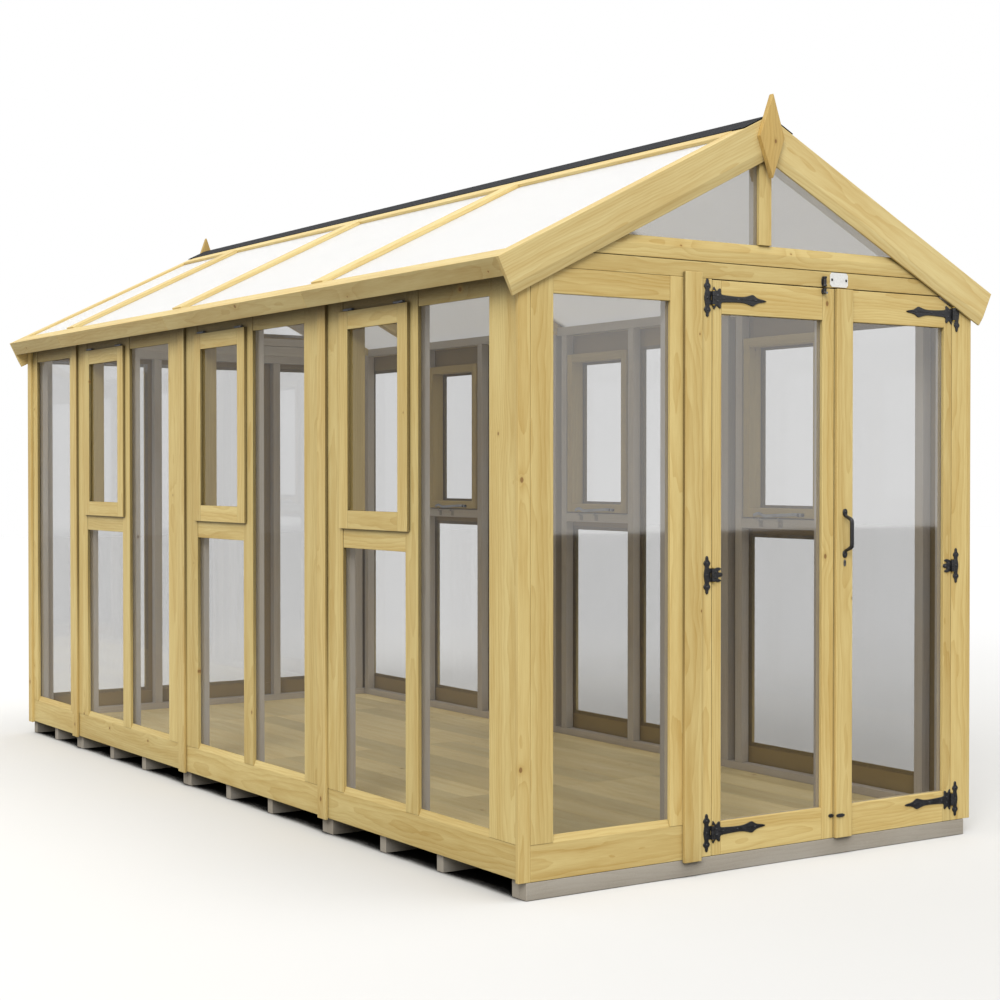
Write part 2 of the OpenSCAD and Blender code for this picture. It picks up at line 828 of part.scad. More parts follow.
module eaves_fascias() {
  ends = concat([-verge], [for (i = [1 : module_n]) joint_ys[i]], [house_l + verge]);
  color(wood)
    both_slopes()
      for (i = [0 : module_n])
        along_y(ends[i], ends[i + 1] - (i < module_n ? 2 * seam : 0))
          slope_rect(eaves_s - fascia_t, eaves_s, 0, fascia_h);
}

// A mitred board along one slope of a gable, bevelled along its lower front edge
module bargeboard() {
  mitre = 0.3;
  top = ridge_top + 1;
  front = -verge - seam - barge_t;
  difference() {
    along_y(front, -verge - seam)
      polygon([[mitre, top], [roof_x(top, 0), top], roof_pt(eaves_s, 0), roof_pt(eaves_s, barge_h),
        [mitre, roof_z(mitre, barge_h)]]);
    translate([0, 0, ridge_z])
      rotate([0, pitch, 0])
        along_x(0, eaves_s + 1)
          polygon([[front - 1, -barge_h - 1], [front + barge_bevel_d, -barge_h - 1],
            [front + barge_bevel_d, -barge_h], [front, barge_bevel_h - barge_h],
            [front - 1, barge_bevel_h - barge_h]]);
  }
}

module bargeboards() {
  color(orange_wood)
    for (back = [false, true])
      on_end(back)
        translate([half_w, 0, 0])
          for (m = [0, 1])
            mirror([m, 0, 0])
              bargeboard();
}

// A pointed board with a shallow ridge down its face
module finials() {
  foot = ridge_z - 197;
  waist = foot + finial_waist;
  hw = finial_w / 2;
  color(orange_wood)
    for (back = [false, true])
      on_end(back)
        translate([half_w, -finial_y, 0])
          intersection() {
            along_y(-finial_t, 0)
              polygon([[0, foot], [hw, waist], [0, foot + finial_h], [-hw, waist]]);
            translate([0, 0, foot])
              linear_extrude(finial_h)
                polygon([[-hw, 0], [-hw, -finial_edge], [0, -finial_t], [hw, -finial_edge], [hw, 0]]);
          }
}

// A folded flashing over the ridge, with a flat along its top
module ridge_cap() {
  under = -batten_rise - seam;
  over = under - cap_t;
  flat = roof_z(cap_flat, over);
  inner_x = roof_x(flat - cap_t, under);
  edge = roof_z(cap_half, over);
  inner_edge = roof_z(cap_half, under);
  color([0.27, 0.28, 0.31])
    translate([0, front_y, 0])
      along_y(-verge - barge_t + 1, house_l + verge + barge_t - 1)
        polygon([[-cap_half, edge], [-cap_half, inner_edge], [-inner_x, flat - cap_t],
          [inner_x, flat - cap_t], [cap_half, inner_edge], [cap_half, edge],
          [cap_flat, flat], [-cap_flat, flat]]);
}

// A door leaf: facing boards in front, an inner frame behind, glass between
module door_leaf(x0, x1, stile0, stile1, relief0, relief1) {
  z0 = front_foot;
  in0 = x0 + relief0;
  in1 = x1 - relief1;
  s0 = stile0 + 5;
  s1 = stile1 + 5;
  y1 = door_inner_y + door_inner_d;
  box(x0, x0 + stile0, 0, door_face_t, z0, door_top);
  box(x1 - stile1, x1, 0, door_face_t, z0, door_top);
  box(x0 + stile0 + seam, x1 - stile1 - seam, 0, door_face_t, z0, z0 + door_rail_h);
  box(x0 + stile0 + seam, x1 - stile1 - seam, 0, door_face_t, door_top - door_rail_h, door_top);
  box(in0, x0 + stile0 - 5, door_inner_y, y1, z0 + 24, door_top);
  box(x1 - stile1 + 5, in1, door_inner_y, y1, z0 + 24, door_top);
  box(x0 + stile0 - 5 + seam, x1 - stile1 + 5 - seam, door_inner_y, y1, z0 + 24, z0 + door_rail_h - 5);
  box(x0 + stile0 - 5 + seam, x1 - stile1 + 5 - seam, door_inner_y, y1,
    door_top - door_rail_h + 5, door_top);
}

module door_pane(x0, x1, stile0, stile1) {
  lap = min(glass_lap, 12);
  z0 = front_foot + door_rail_h;
  z1 = door_top - door_rail_h;
  box(x0 + stile0 - lap, x1 - stile1 + lap, door_glass_y, door_glass_y + glass_t, z0 - lap, z1 + lap);
}

// Mortise for the lock: width along X, from x0 to x1
module lock_mortise(x0, x1, half_h) {
  yc = door_inner_y + door_inner_d / 2;
  box(x0, x1, yc - 7, yc + 7, lock_z - half_h, lock_z + half_h);
}

module left_door_frame() {
  color(wood)
    on_end(false)
      difference() {
        door_leaf(left_x0, left_x1, door_hinge_stile, left_meeting_w, 0, door_relief);
        lock_mortise(left_x1 - door_relief - lock_travel - 2, left_x1, 16);
      }
}

module left_door_glass() {
  color(pane)
    on_end(false)
      door_pane(left_x0, left_x1, door_hinge_stile, left_meeting_w);
}

// The wedge that clears the bargeboard over the right door's hinge corner
module door_corner_cut() {
  x0 = half_w - 200;
  x1 = half_w;
  translate([half_w, 0, 0])
    along_y(-1, door_inner_y + door_inner_d + 1)
      polygon([[x0, roof_z(x0, barge_h + door_clear)], [x1, roof_z(x1, barge_h + door_clear)],
        [x1, door_head + 100], [x0, door_head + 100]]);
}

module right_door_frame() {
  color(wood)
    on_end(false) {
      difference() {
        door_leaf(right_x0, right_x1, right_meeting_w, door_hinge_stile, door_relief, 0);
        lock_mortise(right_x0, right_x0 + right_meeting_w - 10, 46);
        door_corner_cut();
      }
      box(right_x0, right_x0 + planted_w, -planted_t - seam, -seam, front_foot, door_top);
    }
}

module right_door_glass() {
  color(pane)
    on_end(false)
      door_pane(right_x0, right_x1, right_meeting_w, door_hinge_stile);
}

// A steel case with the bolt's channel open at the door's edge
module lock_case() {
  yc = door_inner_y + door_inner_d / 2;
  x0 = right_x0 + door_relief + 0.5;
  x1 = right_x0 + right_meeting_w - 11;
  color(steel)
    on_end(false)
      difference() {
        box(x0, x1, yc - 6.6, yc + 6.6, lock_z - 45, lock_z + 45);
        box(x0 - 1, x1 - 6, yc - 4.4, yc + 4.4, lock_z - 12.4, lock_z + 12.4);
      }
}

module lock_bolt() {
  yc = door_inner_y + door_inner_d / 2;
  x0 = right_x0 + door_relief + 1;
  color(steel)
    on_end(false)
      box(x0, x0 + 42, yc - 4, yc + 4, lock_z - 12, lock_z + 12);
}

hinge_zs = [hinge_low_z, hinge_mid_z, hinge_high_z];
knuckle_h = barrel_l / 3 - 0.4;

// One knuckle of a door hinge around the axis, with the plate that ties it to its leaf
module knuckle(z, side, clearance) {
  difference() {
    union() {
      translate([0, axis_y, z])
        cylinder(r = barrel_r, h = knuckle_h, center = true);
      box(min(0, side * (barrel_r + 3)), max(0, side * (barrel_r + 3)), -leaf_t - seam, -seam,
        z - knuckle_h / 2, z + knuckle_h / 2);
    }
    translate([0, axis_y, z])
      cylinder(r = pin_r + clearance, h = knuckle_h + 2, center = true);
  }
}

// The fixed leaf: a turned baluster outline, drawn to the left of the hinge axis
module fixed_leaf(z) {
  k = leaf_h / 114;
  translate([-19, 0, z])
    along_y(-leaf_t - seam, -seam)
      polygon([[-3, -57 * k], [3, -57 * k], [4, -47 * k], [10, -43 * k], [10, -36 * k], [5, -31 * k],
        [8, -24 * k], [12, -20 * k], [12, 20 * k], [8, 24 * k], [5, 31 * k], [10, 36 * k],
        [10, 43 * k], [4, 47 * k], [3, 57 * k], [-3, 57 * k], [-4, 47 * k], [-10, 43 * k],
        [-10, 36 * k], [-5, 31 * k], [-9, 20 * k], [-12, 0], [-9, -20 * k], [-5, -31 * k],
        [-10, -36 * k], [-10, -43 * k], [-4, -47 * k]]);
  for (k2 = [-1, 1])
    knuckle(z + k2 * barrel_l / 3, -1, 0.05);
}

module hinge_leaves() {
  color(black)
    on_end(false)
      for (z = hinge_zs) {
        translate([axis_left, 0, 0])
          fixed_leaf(z);
        translate([axis_right, 0, 0])
          mirror([1, 0, 0])
            fixed_leaf(z);
      }
}

module hinge_pins() {
  color([0.80, 0.68, 0.30])
    on_end(false)
      for (x = [axis_left, axis_right])
        for (z = hinge_zs) {
          translate([x, axis_y, z])
            cylinder(r = pin_r, h = barrel_l + 2, center = true);
          for (k = [-1, 1])
            translate([x, axis_y, z + k * (barrel_l / 2 + 1)])
              cylinder(r = pin_r + 1.2, h = 1.6, center = true);
        }
}

// The long strap with winged root and pointed end, drawn to the right of the axis
module strap(z) {
  tip = strap_l;
  translate([0, 0, z])
    along_y(-leaf_t - seam, -seam)
      polygon([[8, -9], [11, -24], [17, -31], [20, -21], [27, -32], [33, -30], [32, -12], [38, -9],
        [tip - 62, -6], [tip - 50, -17], [tip - 38, -9], [tip, 0], [tip - 38, 9], [tip - 50, 17],
        [tip - 62, 6], [38, 9], [32, 12], [33, 30], [27, 32], [20, 21], [17, 31], [11, 24], [8, 9]]);
  knuckle(z, 1, 0.15);
}

// The short leaf of a middle hinge, with three prongs
module prong_leaf(z) {
  translate([0, 0, z])
    along_y(-leaf_t - seam, -seam)
      polygon([[8, -18], [16, -20], [22, -10], [30, -19], [35, -14], [31, -6], [42, 0], [31, 6],
        [35, 14], [30, 19], [22, 10], [16, 20], [8, 18]]);
  knuckle(z, 1, 0.15);
}

module door_straps() {
  strap(hinge_low_z);
  prong_leaf(hinge_mid_z);
  strap(hinge_high_z);
}

module left_door_straps() {
  color(black)
    on_end(false) {
      translate([axis_left, 0, 0])
        door_straps();
      box(left_x1 - 20, left_x1 - 0.5, -5, -seam, 121, 132);
    }
}

module right_door_straps() {
  color(black)
    on_end(false) {
      translate([axis_right, 0, 0])
        mirror([1, 0, 0])
          door_straps();
      box(right_x0 + 0.5, right_x0 + 34, handle_y - 5, handle_y - seam, 121, 132);
    }
}

// A bowed bar on two round feet, and the keyhole plate below it
module door_handle() {
  bend = 20;
  bar_y = handle_y - handle_out + handle_r;
  half = handle_pitch / 2;
  color(black)
    on_end(false)
      translate([handle_x, 0, 0]) {
        translate([0, bar_y, handle_z])
          cylinder(r = handle_r, h = handle_pitch - 2 * bend, center = true);
        for (k = [0, 1])
          translate([0, 0, handle_z])
            mirror([0, 0, k]) {
              translate([0, bar_y + bend, half - bend])
                rotate([0, -90, 0])
                  rotate_extrude(angle = -90)
                    translate([bend, 0])
                      circle(r = handle_r);
              translate([0, bar_y + bend, half])
                rotate([-90, 0, 0])
                  cylinder(r = handle_r, h = handle_y - 1 - bar_y - bend);
              translate([0, handle_y - 4, half])
                rotate([-90, 0, 0])
                  cylinder(r = handle_r + 4, h = 4 - seam);
            }
        difference() {
          box(-6, 6, handle_y - 2.4, handle_y - seam, lock_z - 12, lock_z + 12);
          translate([0, handle_y, lock_z + 3])
            rotate([90, 0, 0])
              cylinder(r = 2.6, h = 8, center = true);
          box(-1.2, 1.2, handle_y - 4, handle_y + 1, lock_z - 6, lock_z + 3);
        }
      }
}

// The top bolt: a barrel on the left door with an open slot for the knob's stem
module top_bolt_barrel() {
  z0 = door_top - 20;
  color(black)
    on_end(false)
      translate([bolt_x, 0, 0])
        difference() {
          box(-9.5, 9.5, -14, -seam, z0, door_top - 1);
          translate([0, -7.5, z0 - 1])
            cylinder(r = bolt_r + 0.3, h = 40);
          box(-2.4, 2.4, -16, -7, z0 - 1, door_top);
        }
}

module top_bolt_rod() {
  z0 = door_top - 20;
  color(steel)
    on_end(false)
      translate([bolt_x, -7.5, 0]) {
        translate([0, 0, z0])
          cylinder(r = bolt_r, h = 18.5);
        translate([0, 0, z0 + 3.6])
          rotate([90, 0, 0])
            cylinder(r = 1.8, h = 8);
        translate([0, -7.2, z0 + 3.6])
          rotate([90, 0, 0])
            cylinder(r = 3.6, h = 4);
      }
}

module top_bolt_keeper() {
  z0 = door_head + 1;
  color(black)
    on_end(false)
      translate([bolt_x, 0, 0])
        difference() {
          box(-9.5, 9.5, -14, -seam, z0, z0 + 33);
          translate([0, -7.5, z0 - 1])
            cylinder(r = bolt_r + 0.8, h = bolt_travel + 4);
        }
}

// An unmarked plate with clipped corners over the doors
module blank_plate() {
  w = 39;
  h = 23;
  cut = 7;
  color([0.90, 0.90, 0.89])
    on_end(false)
      translate([door_split + 18, 0, (door_head + front_top) / 2 + 1])
        along_y(-2.4, -seam)
          polygon([[-w + cut, -h], [w - cut, -h], [w, -h + cut], [w, h - cut], [w - cut, h],
            [-w + cut, h], [-w, h - cut], [-w, -h + cut]]);
}

module plate_screws() {
  color(black)
    on_end(false)
      for (k = [-1, 1])
        translate([door_split + 18 + k * 31, -2.4 - seam, (door_head + front_top) / 2 + 1])
          rotate([90, 0, 0])
            cylinder(r1 = 4.5, r2 = 3, h = 2);
}

// Where the two hinges of a sash lie along the wall, from the module line
sash_hinge_ts = [sash_t0 + hinge_in, sash_t1 - hinge_in];

// The fixed leaves of the sash hinges with their pins, and the brackets that hold a stay
module sash_hinges() {
  face = side_recess - seam;
  color(steel)
    for (right = [false, true])
      on_side(right)
        for (t0 = [for (i = [0 : module_n - 1]) wall_ys(right)[i]]) {
          for (t = sash_hinge_ts)
            translate([0, t0 + t, 0])
              sash_leaf(face);
          for (t = [stay_hub + stay_l - 150, stay_hub + stay_l - 40])
            translate([0, t0 + t, transom_top - 8])
              stay_bracket();
        }
}

// A leaf tucked behind the sash's face, its two knuckles and the pin through them
module sash_leaf(face) {
  third = hinge_l / 3;
  box(face - 1.1, face, -hinge_l / 2, hinge_l / 2, sash_top - 10, sash_axis_z + 2.4);
  for (k = [-1, 1]) {
    translate([sash_axis_x, k * third, sash_axis_z])
      rotate([90, 0, 0])
        cylinder(r = knuckle_r, h = third - 0.6, center = true);
    box(sash_axis_x, face - 1, k * third - third / 2 + 0.3, k * third + third / 2 - 0.3,
      sash_axis_z, sash_axis_z + 2.4);
  }
  translate([sash_axis_x, 0, sash_axis_z])
    rotate([90, 0, 0])
      cylinder(r = knuckle_pin_r, h = hinge_l - 2, center = true);
}

// A small angle on the mid rail's inner face, with an upright pin
module stay_bracket() {
  x0 = side_inner_x + seam;
  box(x0, x0 + 1.6, -11, 11, -24, 0);
  box(x0, stay_x + 5, -11, 11, -1.6, 0);
  translate([stay_x, 0, -0.8])
    cylinder(r = 3, h = 12.8);
}

// A sash: face frame, inner frame behind it and the hinge knuckles on its top edge
module sash(right, i) {
  in0 = sash_open_t0 + sash_gap;
  in1 = low_t1 - sash_gap;
  z0 = transom_top + sash_rise;
  z1 = sash_open_top - sash_gap;
  m = sash_member;
  n = sash_inner_w;
  g0 = sash_t0 + m;
  g1 = sash_t1 - m;
  xf = sash_face_t + seam;
  color(wood)
    on_side(right)
      translate([0, wall_ys(right)[i - 1], 0]) {
        box(0, sash_face_t, sash_t0, g0, sash_foot, sash_top);
        box(0, sash_face_t, g1, sash_t1, sash_foot, sash_top);
        box(0, sash_face_t, g0 + seam, g1 - seam, sash_foot, sash_foot + m);
        box(0, sash_face_t, g0 + seam, g1 - seam, sash_top - m, sash_top);
        sash_inner(xf, sash_inner_x1, in0, in1, z0, z1, n);
        for (t = sash_hinge_ts)
          translate([sash_axis_x, t, sash_axis_z])
            difference() {
              union() {
                rotate([90, 0, 0])
                  cylinder(r = knuckle_r, h = hinge_l / 3 - 0.6, center = true);
                box(-3.5, 0, -hinge_l / 6 + 0.3, hinge_l / 6 - 0.3, sash_top + seam - sash_axis_z, 0);
              }
              rotate([90, 0, 0])
                cylinder(r = knuckle_pin_r + 0.15, h = hinge_l, center = true);
            }
      }
}

// The inner frame of a sash, with a rebate at the front for the pane
module sash_inner(x0, x1, t0, t1, z0, z1, n) {
  step = glass_t + 2 * seam;
  lap = sash_glass_lap + seam;
  difference() {
    union() {
      box(x0, x1, t0, t0 + n, z0, z1);
      box(x0, x1, t1 - n, t1, z0, z1);
      box(x0, x1, t0 + n + seam, t1 - n - seam, z0, z0 + n);
      box(x0, x1, t0 + n + seam, t1 - n - seam, z1 - n, z1);
    }
    box(x0 - 1, x0 + step, t0 + n - lap, t1 - n + lap, z0 + n - lap, z1 - n + lap);
  }
}

// The sash pane lies in the rebate, against the back of the face frame
module sash_glass(right, i) {
  n = sash_inner_w - sash_glass_lap;
  x0 = sash_face_t + 2 * seam;
  color(pane)
    on_side(right)
      translate([0, wall_ys(right)[i - 1], 0])
        box(x0, x0 + glass_t, sash_open_t0 + sash_gap + n, low_t1 - sash_gap - n,
          transom_top + sash_rise + n, sash_open_top - sash_gap - n);
}

// A casement stay: a flat arm with a round hub and a curled end, lying along the sash
module stay(right, i) {
  color(steel)
    on_side(right)
      translate([stay_x, wall_ys(right)[i - 1] + stay_hub, stay_z]) {
        cylinder(r = stay_r, h = 12, center = true);
        box(-2, 2, 0, stay_l, -5, 5);
        translate([0, stay_l, 0])
          cylinder(r = stay_r, h = 12, center = true);
      }
}

floor_joists();
floor_boards();
side_wall_frame(false);  // left_wall_frame
side_wall_frame(true);  // right_wall_frame
end_wall_frame(false);  // front_wall_frame
end_wall_frame(true);  // back_wall_frame
side_wall_boards(false);  // left_wall_boards
side_wall_boards(true);  // right_wall_boards
front_wall_boards();
back_wall_boards();
cover_strips();
corner_boards();
side_wall_glass(false);  // left_wall_glass
side_wall_glass(true);  // right_wall_glass
end_wall_glass();
gable_frame(false);  // front_gable_frame
gable_frame(true);  // back_gable_frame
rafters();
ridge_board();
roof_sheets();
roof_cover_strips();
eaves_fascias();
bargeboards();
finials();
ridge_cap();
left_door_frame();
left_door_glass();
right_door_frame();
right_door_glass();
hinge_leaves();
hinge_pins();
left_door_straps();
right_door_straps();
door_handle();
lock_case();
lock_bolt();
top_bolt_barrel();
top_bolt_rod();
top_bolt_keeper();
blank_plate();
plate_screws();
sash_hinges();
sash(false, 1);  // sash_left_1
sash(false, 2);  // sash_left_2
sash(false, 3);  // sash_left_3
sash(true, 1);  // sash_right_1
sash(true, 2);  // sash_right_2
sash(true, 3);  // sash_right_3
sash_glass(false, 1);  // sash_glass_left_1
sash_glass(false, 2);  // sash_glass_left_2
sash_glass(false, 3);  // sash_glass_left_3
sash_glass(true, 1);  // sash_glass_right_1
sash_glass(true, 2);  // sash_glass_right_2
sash_glass(true, 3);  // sash_glass_right_3
stay(false, 1);  // stay_left_1
stay(false, 2);  // stay_left_2
stay(false, 3);  // stay_left_3
stay(true, 1);  // stay_right_1
stay(true, 2);  // stay_right_2
stay(true, 3);  // stay_right_3
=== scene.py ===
# %% [markdown]
# # Dressing a timber greenhouse
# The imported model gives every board, pane and hinge in its true place and size. This script is
# a lesson in giving those solids their looks: eased edges, grain that follows each board, clear
# panes, milky roof sheets and black ironwork. It goes from the frame, through small helpers, to
# the finishes, the pieces, the lights and the camera. Lengths are metres unless a name or a
# docstring says millimetres.

# %% Load the frame
import json
import math

import bmesh
import bpy
import numpy as np
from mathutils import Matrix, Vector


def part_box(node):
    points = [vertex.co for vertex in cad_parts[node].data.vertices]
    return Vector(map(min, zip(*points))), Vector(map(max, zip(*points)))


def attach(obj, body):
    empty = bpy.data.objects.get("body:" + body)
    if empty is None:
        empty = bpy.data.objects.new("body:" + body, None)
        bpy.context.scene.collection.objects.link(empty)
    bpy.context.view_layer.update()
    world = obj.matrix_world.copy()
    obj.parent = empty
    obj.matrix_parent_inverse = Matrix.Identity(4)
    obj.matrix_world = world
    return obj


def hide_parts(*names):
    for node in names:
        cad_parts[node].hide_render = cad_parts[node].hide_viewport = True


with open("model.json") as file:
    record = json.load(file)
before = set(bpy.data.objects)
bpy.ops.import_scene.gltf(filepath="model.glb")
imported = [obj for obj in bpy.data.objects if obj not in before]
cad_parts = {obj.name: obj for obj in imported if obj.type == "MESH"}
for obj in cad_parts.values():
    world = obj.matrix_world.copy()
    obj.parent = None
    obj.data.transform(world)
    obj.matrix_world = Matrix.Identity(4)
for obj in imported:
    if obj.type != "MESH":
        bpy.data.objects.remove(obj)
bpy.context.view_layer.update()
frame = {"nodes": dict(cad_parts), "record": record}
BODY_OF = {node: body
           for body, nodes in frame["record"]["behaviour"]["bodies"].items() for node in nodes}

# %% [markdown]
# ## Shader sums as plain expressions
# A material is a net of nodes, and most of those nodes are sums. Wrapping a socket in a small
# class whose operators add Math nodes lets the sums be written as sums. Every other kind of
# node comes from one method, which sets the node's own settings before its sockets.

# %% Wires: sockets that can be added and multiplied


class Wire:
    """One output socket of a node. On it + - * / ** and > add Math nodes."""

    def __init__(self, finish, socket):
        self.finish = finish
        self.socket = socket

    def _sum(self, operation, *values):
        return self.finish.add("ShaderNodeMath", {"operation": operation}, dict(enumerate(values)))

    def __add__(self, other):
        return self._sum("ADD", self, other)

    def __sub__(self, other):
        return self._sum("SUBTRACT", self, other)

    def __mul__(self, other):
        return self._sum("MULTIPLY", self, other)

    def __truediv__(self, other):
        return self._sum("DIVIDE", self, other)

    def __pow__(self, other):
        return self._sum("POWER", self, other)

    def __gt__(self, other):
        return self._sum("GREATER_THAN", self, other)

    def __radd__(self, other):
        return self._sum("ADD", other, self)

    def __rsub__(self, other):
        return self._sum("SUBTRACT", other, self)

    def __rpow__(self, other):
        return self._sum("POWER", other, self)

    def root(self):
        return self._sum("SQRT", self)

    def part(self):
        """What is left after the whole number is taken off."""
        return self._sum("FRACT", self)

    def wave(self):
        return self._sum("SINE", self)

    def span(self, low, high):
        """A soft step: 0 below low, 1 above high, smooth between; low may be above high."""
        return self.finish.add("ShaderNodeMapRange", {"interpolation_type": "SMOOTHSTEP"},
                               {"Value": self, "From Min": low, "From Max": high})


print("wires ready")

# %% Finish: a material that takes nodes


class Finish:
    """The node tree of one material, or of the world, and a method that adds any node to it."""

    def __init__(self, name, owners=bpy.data.materials, output="ShaderNodeOutputMaterial"):
        self.owner = owners.new(name)
        self.owner.use_nodes = True
        self.nodes = self.owner.node_tree.nodes
        self.links = self.owner.node_tree.links
        self.nodes.clear()
        self.output = self.nodes.new(output)

    def add(self, kind, settings=None, sockets=None, out=0):
        """A node of that kind: settings first, then values or wires for its sockets."""
        node = self.nodes.new(kind)
        for key, value in (settings or {}).items():
            setattr(node, key, value)
        for key, value in (sockets or {}).items():
            if isinstance(value, Wire):
                self.links.new(value.socket, node.inputs[key])
            else:
                node.inputs[key].default_value = value
        return Wire(self, node.outputs[out])

    def attribute(self, name):
        """The three numbers of a mesh attribute, each as a wire."""
        vector = self.add("ShaderNodeAttribute", {"attribute_name": name}, out="Vector")
        return self.split(vector)

    def split(self, vector):
        node = self.add("ShaderNodeSeparateXYZ", sockets={0: vector}).socket.node
        return [Wire(self, socket) for socket in node.outputs]

    def join(self, x, y, z=0.0):
        return self.add("ShaderNodeCombineXYZ", sockets={0: x, 1: y, 2: z})

    def here(self):
        """The shaded point in Object coordinates, as one wire."""
        return self.add("ShaderNodeTexCoord", out="Object")

    def noise(self, vector, scale, detail=2.0):
        return self.add("ShaderNodeTexNoise", None, {
            "Vector": vector, "Scale": scale, "Detail": detail})

    def mix(self, share, first, second):
        """A colour that goes from first to second as share goes from 0 to 1."""
        return self.add("ShaderNodeMix", {"data_type": "RGBA"}, {
            0: share,
            6: first if isinstance(first, Wire) else (*first, 1),
            7: second if isinstance(second, Wire) else (*second, 1)}, out=2)

    def bump(self, height, distance, strength):
        return self.add("ShaderNodeBump", None, {
            "Height": height, "Distance": distance, "Strength": strength})

    def shader(self, **sockets):
        """A Principled shader; _ in a name stands for a space."""
        named = {key.replace("_", " "): value for key, value in sockets.items()}
        return self.add("ShaderNodeBsdfPrincipled", None, named)

    def show(self, shader):
        """Puts the shader on the surface, and returns what the tree belongs to."""
        self.links.new(shader.socket, self.output.inputs["Surface"])
        return self.owner


def srgb(red, green, blue):
    """A colour read as 0 to 255 on a screen, turned into the linear numbers a shader takes."""
    shown = np.array([red, green, blue]) / 255
    linear = np.where(shown <= 0.04045, shown / 12.92, ((shown + 0.055) / 1.055) ** 2.4)
    return tuple(float(value) for value in linear)


print("helpers ready")

# %% [markdown]
# ## Sawn and planed softwood
# Grain is the mark of growth rings cut by a saw. A ring is a shell around the tree's heart, so
# its distance from that line, divided by the ring's width, gives the pattern on every face of a
# board at once: long streaks on the sides, arcs on the ends. A slow noise bends the shells, and
# knots, which are branches, push them aside. Each board carries its own three random numbers.
# Corners under the eaves and beside the stiles get painted shade: an Ambient Occlusion node
# measures the share of open air within a short reach, and the colour darkens where it is low.
# Faces are also painted lighter or darker by the way they face.

# %% Timber finish
KNOT_CELL = (0.42, 0.085)  # length and width of the cell that may hold one knot
KNOT_GIRTH = (0.0025, 0.0045)  # smallest knot's radius, and what the largest adds to it
WHORL = 900.0  # how fast the push of a knot on the rings fades, per square metre
NEAR_GROUND = (0.25, 0.90)  # a board below the first height is near the ground, above the last not; near the ground it gets less painted corner shade
RELIEF = 0.00025  # height of the grain


